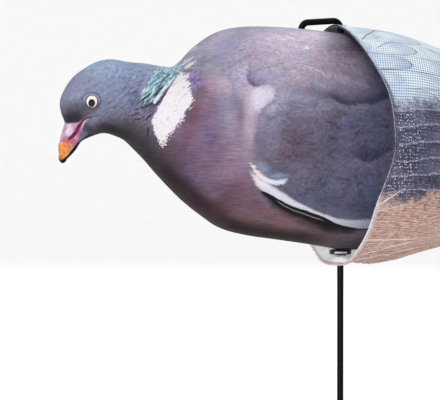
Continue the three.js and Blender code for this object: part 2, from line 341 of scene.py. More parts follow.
def seen(places):
    """Where the photograph shows these places of the bird's near side, as (across, down) in its
    pixels. A place of the far side counts as the one opposite it."""
    near = places * [1, 0, 1] - np.abs(places) * [0, 1, 0]
    away = near - VIEW_TARGET
    scale = VIEW_FOCUS / (VIEW_DISTANCE - away @ VIEW_BACK)
    return VIEW_WIDTH / 2 + scale * (away @ VIEW_RIGHT), VIEW_HEIGHT / 2 - scale * (away @ VIEW_UP)


def make_camera():
    """A camera at the photograph's viewing angle, which takes the image as 440 x 400"""
    data = bpy.data.cameras.new("camera")
    data.sensor_width = SENSOR_WIDTH
    data.lens = VIEW_FOCUS / VIEW_WIDTH * SENSOR_WIDTH
    data.clip_end = 50
    camera = new_object("camera", data)
    aim(camera, (VIEW_TARGET + VIEW_DISTANCE * VIEW_BACK) * MM, VIEW_RIGHT, VIEW_BACK)
    bpy.context.scene.camera = camera


# Meshes

def grid_faces(rows, points, join_rows=False):
    """The four-cornered faces of a grid whose rows are closed rings, joined end to end if asked"""
    row = np.arange(rows if join_rows else rows - 1)[:, None]
    point = np.arange(points)[None, :]
    here = row * points + point
    aside = row * points + (point + 1) % points
    beyond = ((row + 1) % rows) * points
    return np.stack([here, aside, beyond + (point + 1) % points, beyond + point], -1).reshape(-1, 4)


def make_mesh(name, places, faces, finish):
    """A smooth mesh from its places in millimetres and its faces"""
    mesh = bpy.data.meshes.new(name)
    mesh.from_pydata((places * MM).tolist(), [], faces)
    mesh.materials.append(finish)
    mesh.shade_smooth()
    return new_object(name, mesh)


def make_piece(name, places, faces, slot, finish, fields=None, colours=None):
    """A piece of the object. fields are numbers, and colours are colours, that its finish reads at
    each place."""
    piece = make_mesh(name, places, faces, finish)
    attributes = piece.data.attributes
    for field, values in (fields or {}).items():
        attributes.new(field, "FLOAT", "POINT").data.foreach_set("value", values.astype(np.float32))
    for field, values in (colours or {}).items():
        opaque = np.column_stack([values, np.ones(len(values))]).astype(np.float32)
        attributes.new(field, "FLOAT_COLOR", "POINT").data.foreach_set("color", opaque.ravel())
    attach(piece, "root")
    return piece


def capped(rings, first, last):
    """A closed skin over rings with a point at each end, as (places, faces)"""
    rows, points = rings.shape[:2]
    places = np.vstack([rings.reshape(-1, 3), first, last])
    near = np.arange(points)
    aside = (near + 1) % points
    far = (rows - 1) * points
    faces = grid_faces(rows, points).tolist()
    faces += np.column_stack([aside, near, np.full(points, rows * points)]).tolist()
    faces += np.column_stack([far + near, far + aside, np.full(points, rows * points + 1)]).tolist()
    return places, faces


def tube(path, across, radius, points=THREAD_POINTS):
    """Rings of a round rod along a path: circles square to its run, started in the direction that
    across gives at each place"""
    run = unit(np.gradient(path, axis=0))
    aside = unit(np.cross(run, across))
    first = np.cross(aside, run)
    turn = np.linspace(0, 2 * np.pi, points, endpoint=False)[None, :, None]
    radius = np.broadcast_to(radius, len(path))[:, None, None]
    circle = first[:, None] * np.cos(turn) + aside[:, None] * np.sin(turn)
    return path[:, None] + radius * circle


def joined(skins):
    """Several skins, each of them (places, faces), as one"""
    places, faces, count = [], [], 0
    for some, sides in skins:
        places.append(some)
        faces += [[corner + count for corner in side] for side in sides]
        count += len(some)
    return np.vstack(places), faces


# Paint

def ribbon(across, down, rows):
    """Signed distance from a brush stroke in pixels, positive inside it: its half width at the
    nearest place of its line, less the way to that line. Each row is (across, down, half width)."""
    inside = np.full(across.shape, -1e3)
    for (x, y, half), (next_x, next_y, next_half) in zip(rows[:-1], rows[1:]):
        run_x, run_y = next_x - x, next_y - y
        along = ((across - x) * run_x + (down - y) * run_y) / (run_x ** 2 + run_y ** 2)
        along = np.clip(along, 0, 1)
        away = np.hypot(across - x - along * run_x, down - y - along * run_y)
        inside = np.maximum(inside, half + along * (next_half - half) - away)
    return inside


def patch(across, down, outline):
    """Signed distance from a patch's outline in pixels, positive inside it. A place is inside if a
    line to its right crosses the outline an odd number of times."""
    inside = np.zeros(across.shape, bool)
    away = np.full(across.shape, 1e3)
    for (x, y), (next_x, next_y) in zip(outline, outline[1:] + outline[:1]):
        away = np.minimum(away, -ribbon(across, down, [(x, y, 0), (next_x, next_y, 0)]))
        if next_y != y:
            crossing = x + (down - y) * (next_x - x) / (next_y - y)
            inside ^= ((y > down) != (next_y > down)) & (across < crossing)
    return np.where(inside, away, -away)


def above_line(across, down, rows):
    """Signed distance in pixels from a line that runs to the right, positive above it, with the
    line's own further values at the nearest place. Each row is (across, down, value, ...)."""
    rows = np.asarray(rows, float)
    nearest = np.full(across.shape, 1e3)
    side = np.zeros(across.shape)
    values = np.zeros((*across.shape, rows.shape[1] - 2))
    for here, there in zip(rows[:-1], rows[1:]):
        run = there[:2] - here[:2]
        along = ((across - here[0]) * run[0] + (down - here[1]) * run[1]) / (run @ run)
        along = np.clip(along, 0, 1)
        off_x = across - here[0] - along * run[0]
        off_y = down - here[1] - along * run[1]
        away = np.hypot(off_x, off_y)
        closer = away < nearest
        side = np.where(closer, np.sign(run[1] * off_x - run[0] * off_y), side)
        there_values = here[2:] + along[..., None] * (there[2:] - here[2:])
        values = np.where(closer[..., None], there_values, values)
        nearest = np.minimum(nearest, away)
    return side * nearest, values


def dab(across, down, x, y, wide, high, slant=0):
    """A soft dab of an airbrush: 1 in the middle, flat there, and fading to nothing past its half
    width and half height. slant turns it, in degrees, its right end upwards."""
    turn = math.radians(slant)
    along = (across - x) * math.cos(turn) - (down - y) * math.sin(turn)
    aside = (across - x) * math.sin(turn) + (down - y) * math.cos(turn)
    return np.exp(-((along / wide) ** 2 + (aside / high) ** 2) ** 1.5)


# The airbrushed tones, laid on in this order: (across, down, half width, half height, slant,
# strength, colour). Many of them are painted shade: the shadow of the sleeve's rim on the back
# and flank, the shade under the wing's edge, and dark bands above the bill and along the throat,
# breast and belly.
UNDERCOAT = (122, 114, 134)
DABS = [
    (112, 95, 52, 40, 0, 1.0, (128, 134, 160)),
    (118, 63, 58, 17, 0, 0.9, (154, 173, 201)),
    (76, 94, 16, 22, 0, 0.5, (128, 136, 164)),
    (110, 108, 22, 12, 0, 0.5, (116, 118, 138)),
    (106, 126, 34, 12, 0, 0.85, (98, 97, 111)),
    (76, 114, 16, 12, 10, 0.9, (66, 62, 72)),
    (75, 119, 14, 6.5, 0, 0.95, (38, 34, 42)),
    (136, 86, 20, 22, 0, 0.7, (126, 134, 164)),
    (150, 66, 34, 12, 0, 0.7, (142, 160, 186)),
    (132, 114, 24, 12, -15, 0.6, (108, 111, 134)),
    (208, 150, 66, 66, 0, 1.0, (124, 102, 127)),
    (142, 138, 24, 15, -40, 0.9, (92, 84, 95)),
    (166, 162, 20, 28, -40, 0.85, (74, 56, 72)),
    (238, 180, 30, 26, 0, 0.7, (150, 120, 137)),
    (196, 196, 34, 16, -42, 0.7, (100, 82, 96)),
    (216, 214, 52, 18, -22, 0.95, (88, 62, 73)),
    (222, 203, 16, 7, 40, 0.5, (74, 48, 66)),
    (188, 186, 34, 8, -42, 0.45, (62, 46, 58)),
    (156, 172, 12, 30, 40, 0.8, (54, 44, 52)),
    (290, 232, 92, 17, -8, 0.95, (118, 88, 91)),
    (266, 214, 34, 8, -14, 0.75, (132, 104, 116)),
    (320, 229, 16, 5, -16, 0.5, (60, 48, 54)),
    (354, 242, 28, 11, 0, 0.95, (100, 97, 104)),
    (306, 227, 14, 5, -20, 0.4, (136, 106, 106)),
    (266, 214, 20, 4, -22, 0.4, (122, 90, 98)),
    (192, 128, 7, 22, -28, 0.5, (112, 68, 84)),
    (210, 122, 9, 22, 0, 0.5, (116, 96, 132)),
    (197, 106, 7, 12, 0, 0.55, (122, 88, 96)),
    (214, 86, 10, 13, 30, 0.85, (176, 146, 156)),
    (209, 108, 8, 14, 10, 0.45, (154, 112, 130)),
    (195, 80, 10, 11, 0, 0.8, (126, 104, 162)),
    (208, 66, 16, 13, -30, 0.8, (140, 136, 146)),
    (203, 61, 5, 3.5, 0, 0.6, (116, 100, 108)),
    (201, 92, 6, 7, 30, 0.7, (100, 88, 96)),
    (198, 53, 12, 8, 30, 0.6, (144, 148, 172)),
    (236, 42, 38, 15, 12, 0.9, (156, 154, 180)),
    (214, 46, 8, 5, 25, 0.5, (186, 166, 178)),
    (232, 66, 22, 12, 15, 0.6, (150, 148, 176)),
    (237, 73, 11, 12, 0, 0.6, (164, 162, 188)),
    (296, 42, 52, 20, -4, 1.0, (207, 194, 212)),
    (292, 72, 58, 20, -6, 0.9, (193, 181, 198)),
    (342, 62, 26, 22, -30, 0.75, (134, 122, 138)),
    (346, 44, 16, 10, 25, 0.5, (82, 74, 86)),
    (316, 59, 18, 8, 0, 0.5, (188, 174, 192)),
    (228, 108, 14, 34, 0, 0.8, (138, 134, 158)),
    (239, 88, 9, 12, 0, 0.6, (176, 172, 198)),
    (224, 84, 8, 10, 25, 0.7, (186, 168, 184)),
    (235, 101, 4.5, 11, 0, 0.6, (122, 118, 142)),
    (268, 172, 17, 5.5, -20, 0.75, (146, 158, 184)),
    (284, 176, 10, 4, 0, 0.6, (124, 130, 150)),
    (312, 152, 64, 62, 0, 1.0, (98, 92, 109)),
    (268, 128, 17, 34, 0, 0.85, (124, 119, 142)),
    (292, 102, 42, 13, -4, 0.85, (160, 154, 180)),
    (320, 94, 22, 5, -16, 0.45, (104, 98, 120)),
    (336, 99, 14, 5, -20, 0.4, (78, 74, 98)),
    (276, 106, 10, 6, 0, 0.5, (178, 174, 198)),
    (356, 88, 22, 9, -10, 0.5, (112, 108, 130)),
    (358, 150, 26, 44, 0, 0.75, (88, 89, 118)),
    (350, 130, 12, 10, 0, 0.4, (82, 82, 108)),
    (368, 151, 13, 6, -8, 0.5, (66, 64, 84)),
    (290, 138, 20, 9, -10, 0.35, (86, 72, 88)),
    (288, 156, 16, 6, 8, 0.4, (84, 66, 78)),
    (372, 196, 14, 26, 0, 0.8, (95, 101, 133)),
    (336, 190, 12, 9, 0, 0.4, (112, 112, 136)),
    (300, 150, 18, 10, 10, 0.3, (92, 82, 98)),
    (330, 200, 56, 20, -16, 0.7, (84, 88, 114)),
    (358, 208, 12, 8, 0, 0.5, (66, 70, 94)),
    (306, 182, 22, 10, 10, 0.6, (104, 101, 119)),
    (380, 120, 14, 70, 0, 0.7, (92, 95, 123)),
    (340, 78, 30, 4, -18, 0.3, (190, 176, 190)),
    (244, 73, 4, 9, 0, 0.5, (164, 160, 184)),
    (262, 78, 18, 8, -4, 0.9, (166, 161, 192)),
    (250, 78, 5, 8, 0, 0.5, (150, 146, 178)),
    (340, 44, 12, 5, 0, 0.4, (132, 126, 150)),
    (358, 46, 12, 10, 30, 0.5, (104, 88, 100)),
    (222, 35, 14, 6, 25, 0.75, (184, 175, 197)),
    (304, 36, 22, 6, -4, 0.5, (222, 212, 230)),
    (334, 36, 12, 6, 0, 0.45, (124, 112, 128)),
    (356, 46, 12, 8, 30, 0.45, (76, 66, 78)),
    (142, 98, 13, 9, 15, 0.75, (86, 91, 115)),
    (93, 119, 10, 7, 0, 0.7, (124, 123, 142)),
    (106, 118, 22, 8, 0, 0.4, (120, 121, 140)),
    (116, 133, 17, 6, -20, 0.9, (34, 31, 40)),
    (188, 117, 7, 15, -28, 0.7, (94, 70, 84)),
    (212, 116, 10, 20, 0, 0.45, (98, 84, 108)),
    (208, 164, 34, 36, 0, 0.4, (98, 80, 100)),
    (236, 190, 24, 13, -20, 0.6, (92, 66, 78)),
    (256, 204, 12, 7, -20, 0.5, (96, 72, 84)),
    (190, 199, 37, 9, -42, 0.65, (62, 45, 56)),
    (282, 96, 10, 6, 0, 0.5, (176, 170, 196)),
    (303, 109, 17, 6, -6, 0.8, (110, 104, 126)),
    (263, 168, 9, 5, -38, 0.75, (152, 160, 188)),
    (277, 176, 10, 3.2, 0, 0.6, (152, 166, 192)),
    (354, 166, 12, 8, 0, 0.4, (118, 118, 142)),
    (278, 213, 24, 7, -14, 0.6, (122, 88, 92)),
    (300, 230, 26, 6, -8, 0.6, (122, 94, 96)),
    (328, 228, 14, 4.5, -14, 0.9, (28, 22, 25)),
    (346, 231, 9, 3, -4, 0.85, (36, 32, 36)),
    (304, 222, 13, 4.5, -20, 0.7, (74, 54, 56)),
    (288, 213, 12, 4, -26, 0.6, (80, 62, 64)),
    (275, 204, 8, 4, -28, 0.75, (58, 42, 46)),
    (264, 227, 28, 4, -4, 0.5, (90, 68, 72)),
    (254, 216, 22, 8, -8, 0.35, (96, 72, 80)),
    (318, 236, 18, 6, -8, 0.5, (82, 66, 72)),
    (234, 144, 12, 26, 0, 0.45, (150, 134, 150)),
    (232, 118, 6, 14, 0, 0.25, (146, 138, 156)),
    (166, 154, 14, 12, -40, 0.6, (116, 94, 104)),
    (86, 128, 8, 4, -20, 0.6, (60, 52, 60)),
    (180, 190, 30, 3, -45, 0.35, (104, 66, 62)),
    (205, 47, 14, 8, 35, 0.5, (176, 172, 188)),
    (312, 33, 12, 5, -4, 0.5, (230, 218, 234)),
    (206, 196, 12, 8, -40, 0.35, (110, 86, 100)),
    (147, 97, 11, 7, 15, 0.6, (86, 92, 112)),
    (152, 108, 6, 6, 0, 0.5, (74, 76, 92)),
    (152, 145, 7, 6, -40, 0.45, (118, 100, 112)),
    (177, 157, 9, 8, 0, 0.35, (118, 94, 118)),
    (260, 120, 6, 8, 0, 0.4, (172, 164, 188)),
    (272, 110, 8, 6, 0, 0.4, (176, 172, 198)),
    (284, 121, 9, 6, 0, 0.35, (146, 142, 166)),
    (272, 84, 8, 5, 0, 0.4, (196, 190, 214)),
    (320, 36, 9, 5, 0, 0.4, (226, 214, 230)),
    (272, 37, 10, 6, 0, 0.35, (224, 210, 230)),
    (236, 204, 10, 7, 0, 0.35, (84, 60, 66)),
    (261, 150, 7, 14, 0, 0.35, (96, 92, 106)),
    (332, 199, 12, 9, 0, 0.35, (70, 68, 84)),
    (368, 192, 8, 7, 0, 0.35, (92, 98, 130)),
    (224, 174, 14, 9, 0, 0.35, (150, 126, 146)),
]
# The shoulder's pale ridge and tuft: its sharp edge over the wing, and where it is pale, the tuft
# with its own pale down and the ridge with a painted highlight down it
SHOULDER = [
    (243, 78.5), (246.5, 81.3), (250, 84), (254, 87.2), (259, 86.4), (264, 85), (270, 85), (275, 88),
    (277, 92), (275.3, 97), (272, 101), (268, 104), (264, 107), (261, 111), (258, 116), (256.5, 123),
    (257, 130), (255, 138), (254, 148), (253.5, 158), (252, 168), (230, 172), (228, 120), (232, 84),
]
SHOULDER_LIGHTS = [
    (266, 94, 13, 13, 0, 0.95), (252, 99, 9, 16, 0, 0.46), (250, 122, 7, 19, 0, 0.4),
    (248, 148, 8, 20, 0, 0.16), (263, 98, 3, 11, 12, 0.25), (261, 107, 6, 8, 0, 0.5),
]
# The painted shade under the throat, chest and keel: over which shares of the way to the keel
# each comes in, over which places across it starts and ends, how far it ends there, its strength
# and its colour
UNDERSIDE_SHADES = [
    ((0.62, 0.98), (80, 92), (140, 212), 1, 0.75, (42, 38, 42)),
    ((0.9, 0.97), (150, 172), (212, 236), 1, 0.6, (30, 17, 22)),
    ((0.93, 0.985), (212, 236), (300, 330), 0.7, 0.94, (24, 11, 12)),
]
TEAL_DABS = [(164, 76, 17, 11, 48, 1), (150, 93, 15, 9, 42, 0.6), (182, 63, 14, 6, 38, 0.35)]
VIOLET_DABS = [(194.5, 79, 8, 10, 0, 1)]
NECK_DABS = [(152, 98, 42, 36, 0, 1)]
# Where the bird's regions begin and end: the places across or down between which each one fades
HEAD_REAR_SEEN = (118, 148)
WING_FRONT_SEEN = (252, 275)
WING_UPPER_SEEN = (88, 112)
WING_LOWER_SEEN = (205, 222)
BACK_FRONT_SEEN = (205, 240)
BACK_LOWER_SEEN = (84, 112)
EDGE_FRONT_SEEN = (257, 268)
EDGE_REAR_SEEN = (322, 345)
# The thin pale line in the gap below the wing is a painted highlight
GLINT_START = (275, 281)        # the thin pale line in the gap below the wing
GLINT_END = (318, 326)
# The eye's middle, and how wide it is seen for its height; then the ridge and the furrow round it,
# each with its way from the middle and its half width
EYE_SEEN = (92.2, 101.5)
EYE_SEEN_WIDTH = 0.92
EYE_RING = (7.2, 1.5)
EYE_FURROW = (10, 1.6)
# Painted shade above the edges of the locks, and a painted highlight just below them
LOCK_SHADE = (0.4, 0.39, 0.33)
LOCK_LIGHT = 0.12
LOCK_SHADE_REACH = 8
LOCK_RIM_REACH = 5
LOCK_SOFTNESS = 0.7
# Locks that lie over others: the line of each one's edge, and how strong the shade above it is
LOCK_EDGES = [
    [(249, 62, 0), (247.6, 70, 0.5), (246.3, 80, 0.8), (250, 84, 0.9), (254, 87, 0.9),
     (262, 85.6, 0.45), (272, 85, 0.2), (282, 89, 0)],
    [(327, 95, 0), (332, 98, 0.7), (338, 102, 1), (344, 104.6, 1), (351, 106, 0.9), (358, 104.4, 0.9),
     (365, 103.4, 1), (372, 104.6, 1), (379, 102, 1), (392, 97, 0.8)],
    [(350, 151, 0), (354, 156, 0.3), (360, 160, 0.7), (366, 161.8, 0.9), (373, 161.6, 0.9),
     (380, 157, 0.7), (390, 151, 0.5)],
    [(276, 100, 0), (288, 106, 0.25), (300, 104, 0.3), (314, 108, 0.2), (326, 106, 0)],
]
# Dark creases on the wing and back, painted as the shade in them
CREASES = [
    [(227, 69, 0.2), (236, 63, 0.7), (245, 58, 0.6), (252, 54, 0.2)],
    [(254.5, 89, 0.2), (256.6, 95, 0.6), (257.4, 102, 0.5), (256, 110, 0.2)],
    [(252, 72, 0.2), (262, 69, 0.5), (272, 66, 0.4), (284, 63, 0.2)],
    [(296, 41, 0.2), (304, 43, 0.5), (312, 45, 0.2)],
    [(326, 121, 0.3), (333, 124, 1.4), (342, 128.5, 0.3)],
    [(287, 142, 0.3), (296, 145, 0.9), (301, 142.6, 0.7), (309, 141.6, 0.9), (314, 144, 0.6),
     (322, 142.6, 0.2)],
    [(284, 158, 0.2), (292, 155.6, 0.8), (302, 156.5, 0.3)],
    [(329, 137, 0.3), (336, 139.5, 1.4), (343, 138, 0.3)],
    [(300, 186, 0.3), (308, 190, 0.9), (318, 190, 0.3)],
    [(340, 178, 0.2), (352, 181, 0.6), (360, 186, 0.2)],
]
WISPS = [
    [(338, 136.5, 0.2), (344, 133.5, 0.7), (350, 129.5, 0.6), (355, 123, 0.7), (357, 121, 0.2)],
    [(358, 121, 0.2), (362, 125, 0.8), (367, 124, 0.2)],
    [(352, 143, 0.2), (356, 140, 0.9), (360, 137.5, 0.3)],
    [(349.5, 174, 0.2), (352.5, 181, 0.6), (357.5, 190, 0.4)],
    [(357, 190.5, 0.2), (363, 188.3, 0.7), (367, 193, 0.6), (368.5, 200, 0.2)],
    [(361, 164, 0.2), (368, 163.6, 0.7), (373, 168, 0.4), (376, 176, 0.2)],
    [(376, 164, 0.2), (381, 168, 0.5), (383, 174, 0.2)],
    [(352, 175, 0.2), (359, 171, 0.8), (365, 167, 0.2)],
    [(296, 190, 0.2), (303, 185, 0.4), (316, 182, 0.2)],
    # A painted highlight on the back
    [(313, 69.5, 0.3), (318, 72, 1), (324, 73.5, 0.4)],
    [(302, 50, 0.2), (307, 47.5, 0.8), (313, 46.5, 0.3)],
    [(280, 40, 0.2), (290, 38, 0.6), (300, 41, 0.2)],
    [(296, 66, 0.2), (310, 67, 0.5), (324, 69, 0.2)],
    [(330, 51.5, 0.2), (345, 51.5, 0.5), (362, 52, 0.2)],
]
WHITE_PATCH = [
    (179.6, 72.4), (188.8, 74.5), (188, 79), (190.5, 87), (193, 97), (190, 106), (181, 122), (175.4, 129),
    (166.4, 139), (163.6, 146.6), (161.4, 146.6), (154.9, 134.2), (151.6, 120.8), (157, 109.6),
    (165, 95.5), (170.5, 84.3),
]
PATCH_TOP = (184, 73)
PATCH_SQUARE = (74 / 78, 24 / 78)   # the way square to the patch's middle line, towards its rear
WHITE_STRIP = [(154.5, 102, 1.4), (163, 91, 1.2), (170, 82.5, 0.9), (175.5, 76.5, 0.4)]
NAPE_STROKES = [
    [(179, 67, 0.3), (186, 62, 1.1), (193, 57.5, 0.5)],
    [(183, 70, 0.3), (190, 65, 0.8), (196, 61, 0.3)],
    [(186, 54, 0.3), (192, 50.5, 0.8), (197, 47.5, 0.3)],
]
# Folds of the neck, with painted shade in them
DARK_FOLDS = [
    [(144, 112.4, 0.3), (153.2, 106.8, 0.7), (158.4, 103, 0.8), (164.3, 94.8, 0.7), (170, 86, 0.6),
     (177, 76, 0.2)],
    [(134, 110.4, 0.3), (142.4, 107.9, 0.8), (149.6, 105.2, 0.7), (153.2, 102.8, 0.3)],
    [(146, 120.8, 0.4), (149.4, 116.6, 0.9), (153.6, 112.2, 0.3)],
    [(131.5, 115.6, 0.3), (136, 114, 0.7), (140.4, 112.4, 0.3)],
    [(138, 103, 0.3), (145, 98.5, 0.8), (151, 93, 0.4)],
    [(147, 101.5, 0.3), (156, 95, 0.8), (163, 86, 0.4)],
    [(158, 88, 0.3), (164, 80, 0.7), (170, 73, 0.3)],
    [(148, 126, 0.2), (148.3, 131, 0.5), (147.8, 137, 0.2)],
    [(151, 98.5, 0.3), (156, 93.5, 0.6), (161, 87, 0.3)],
    [(133, 121, 0.2), (139, 119, 0.6), (144, 117.5, 0.2)],
]
# The wing's pale lower edge and the gap below it, painted as shadow: (across, down) of the line
# between them, and the widths of the pale edge and of the gap
WING_EDGE_LINE = [
    (250.5, 172.5, 0.4, 0), (253.5, 179, 5, 0), (256.5, 185.5, 8, 0), (260.4, 189.3, 9, 1),
    (266.3, 192.4, 8.5, 4), (275, 196.9, 7.8, 5.2), (285, 202.8, 7.2, 6.8), (295, 207.2, 5.6, 8),
    (305, 210.2, 4, 8.5), (315, 213.7, 2.6, 9), (325, 217.4, 2.8, 8), (335, 223, 5, 4.2),
    (345, 226.1, 6.6, 3), (353, 227.6, 7.6, 2), (360, 228.6, 8.8, 1.4), (368, 228.4, 9, 1.2),
    (392, 226, 9, 1.2),
]
WING_SPLIT = [(262, 181, 0.2), (272, 188, 0.5), (282, 194, 0.5), (292, 201, 0.4), (300, 206, 0.2)]
WING_CRESCENT = [
    (250, 162), (256, 168.3), (263.3, 175.6), (270.7, 179.3), (278, 180.7), (287.4, 179), (284.6, 183.3),
    (277.3, 185), (269.9, 183.7), (264.8, 182), (258, 177), (252.5, 169.5),
]
BILL = [
    (54, 121), (64.5, 121.9), (67.2, 123.6), (73, 123), (78.3, 122.6), (82.5, 119.4), (85.2, 121.6),
    (83.2, 127), (81, 133), (79, 140), (74, 150), (66, 166), (52, 162),
]
BILL_SWELL = (71, 130, 7, 7)
BILL_SKIN = (198, 174, 190)
BILL_SHADES = [
    (71, 130, 8, 7, 0, 0.7, (226, 208, 218)),
    (64.5, 130, 3, 9, -10, 0.6, (176, 152, 168)),
    (68, 138, 6, 2, -15, 0.7, (156, 112, 140)),
    (79.5, 133, 5, 10, 25, 1.0, (158, 96, 134)),
    (74.5, 142, 4, 6, 40, 0.9, (178, 92, 124)),
    (66.5, 141.5, 6.5, 2.6, -12, 0.95, (188, 84, 94)),
]
GAPE = [(83, 120.4, 0.9), (79.5, 125.5, 1.6), (77, 130.5, 1.5), (73.5, 135.3, 1.9), (69.5, 138.8, 1.5)]
GAPE_COLOUR = (104, 34, 78)
GAPE_CORNER = [(83.5, 119.8, 0.5), (87, 117.9, 0.8), (92, 117.2, 0.4)]
GAPE_CORNER_COLOUR = (96, 44, 60)
# A painted highlight at the gape's corner
CORNER_LIGHT = [(88.8, 119.2, 0.2), (86.6, 120.2, 0.6), (84.6, 122.4, 0.7)]
CORNER_LIGHT_COLOUR = (208, 176, 196)
# Folds of the cheek behind the gape, painted as the shade in them
CHEEK_FOLDS = [
    [(83.4, 117.2, 0.2), (86.4, 114.8, 0.6), (89.6, 113, 0.2)],
    [(87, 111.8, 0.2), (91, 113.2, 0.5), (96, 113, 0.2)],
    [(91.6, 116.6, 0.2), (95, 115.4, 0.5), (99, 115.4, 0.2)],
]
CHEEK_FOLD_SHADE = (52, 48, 60)
LOWER_LIGHT = [(82, 127, 0.3), (79.3, 135, 0.5), (74.5, 143, 0.4)]
LOWER_LIGHT_COLOUR = (190, 136, 168)
ORANGE_TIP = [
    (50, 141), (61.5, 143.4), (66, 142.4), (71.6, 143.6), (70.5, 150), (66.5, 158), (63, 159.6),
    (56, 162), (50, 156),
]
ORANGE_FRONT = (57, 61)         # where the tip is shaded: in front, behind and at its lower edge
ORANGE_REAR = (66, 71)
ORANGE_LOWER = (155, 160)
ORANGE = (222, 140, 76)
ORANGE_SHADE = (176, 98, 58)
BILL_UNDERSIDE = [
    (60.3, 160.8, 1.2), (64, 161.6, 2.4), (69.6, 157.4, 2.6), (74, 150.8, 2.4), (79, 144.5, 2),
    (84, 139.5, 1.4), (90, 135, 0.8),
]
UNDERSIDE_COLOUR = (12, 11, 12)


def laid_on(paint, cover, colour):
    """The paint with a colour laid over it where cover is 1, in shown tones"""
    cover = np.clip(cover, 0, 1)[:, None]
    return paint * (1 - cover) + cover * np.array(colour)


def stroke(across, down, rows, softness=0.5):
    """How far a brush stroke covers each place: 1 inside it, and fading over its soft edge"""
    return smooth(-softness, softness, ribbon(across, down, rows))


def strokes(across, down, lines):
    """Signed distance in pixels from the nearest of several brush strokes, positive inside it"""
    return np.max([ribbon(across, down, rows) for rows in lines], axis=0)


def filled(across, down, outline, softness):
    """How far a patch covers each place: 1 inside it, and fading over its soft edge"""
    return smooth(-softness, softness, patch(across, down, outline))


def together(across, down, rows):
    """How far several soft dabs cover each place. Each row is a dab and its strength."""
    return np.clip(sum(strength * dab(across, down, *form) for *form, strength in rows), 0, 1)


def under_locks(across, down):
    """How deep each place lies in the painted shade of a lock's edge, and how close below the edge it
    lies, where a painted highlight falls: both are strongest at the line and fade with the square of
    the way from it"""
    shade, rim = np.zeros(across.shape), np.zeros(across.shape)
    for rows in LOCK_EDGES:
        side, values = above_line(across, down, rows)
        strength, over = values[:, 0], smooth(-LOCK_SOFTNESS, LOCK_SOFTNESS, side)
        shade = np.maximum(shade, strength * over * np.exp(-(side / LOCK_SHADE_REACH) ** 2))
        rim = np.maximum(rim, strength * (1 - over) * np.exp(-(side / LOCK_RIM_REACH) ** 2))
    return shade, rim


def undertones(across, down, under):
    """The airbrushed tones of each place, as shown from 0 to 255: the dabs in their order, many of them
    painted shade, the painted shade above the locks' edges with a painted highlight below them, the
    painted shade under the throat, chest and keel, then the bill's skin, strokes and tip, with the
    painted shade of the cheek's folds and a painted highlight at the gape's corner. under is 1 at the
    bird's keel."""
    paint = np.tile(np.array(UNDERCOAT, float), (len(across), 1))
    for *form, strength, colour in DABS:
        paint = laid_on(paint, strength * dab(across, down, *form), colour)
    # Painted shade above the locks' edges, and a painted highlight just below them
    shade, rim = under_locks(across, down)
    paint = paint * (1 - shade[:, None] * np.array(LOCK_SHADE)) * (1 + LOCK_LIGHT * rim)[:, None]
    for low, front, rear, fading, strength, colour in UNDERSIDE_SHADES:
        cover = smooth(*low, under) * smooth(*front, across) * (1 - fading * smooth(*rear, across))
        paint = laid_on(paint, strength * cover, colour)

    bill = np.tile(np.array(BILL_SKIN, float), (len(across), 1))
    for *form, strength, colour in BILL_SHADES:
        bill = laid_on(bill, strength * dab(across, down, *form), colour)
    bill = laid_on(bill, 0.8 * stroke(across, down, LOWER_LIGHT), LOWER_LIGHT_COLOUR)
    tip = filled(across, down, ORANGE_TIP, 0.7)
    bill = laid_on(bill, tip, ORANGE)
    in_middle = smooth(*ORANGE_FRONT, across) * (1 - smooth(*ORANGE_REAR, across))
    shaded = 1 - in_middle + smooth(*ORANGE_LOWER, down)
    bill = laid_on(bill, 0.5 * tip * shaded, ORANGE_SHADE)
    bill = laid_on(bill, stroke(across, down, GAPE, 0.7), GAPE_COLOUR)
    paint = laid_on(paint, filled(across, down, BILL, 0.8), bill)
    paint = laid_on(paint, 0.9 * stroke(across, down, GAPE_CORNER), GAPE_CORNER_COLOUR)
    paint = laid_on(paint, 0.8 * stroke(across, down, CORNER_LIGHT), CORNER_LIGHT_COLOUR)
    cheek = smooth(-0.6, 0.5, strokes(across, down, CHEEK_FOLDS))
    paint = laid_on(paint, 0.55 * cheek, CHEEK_FOLD_SHADE)
    return laid_on(paint, stroke(across, down, BILL_UNDERSIDE, 0.6), UNDERSIDE_COLOUR)


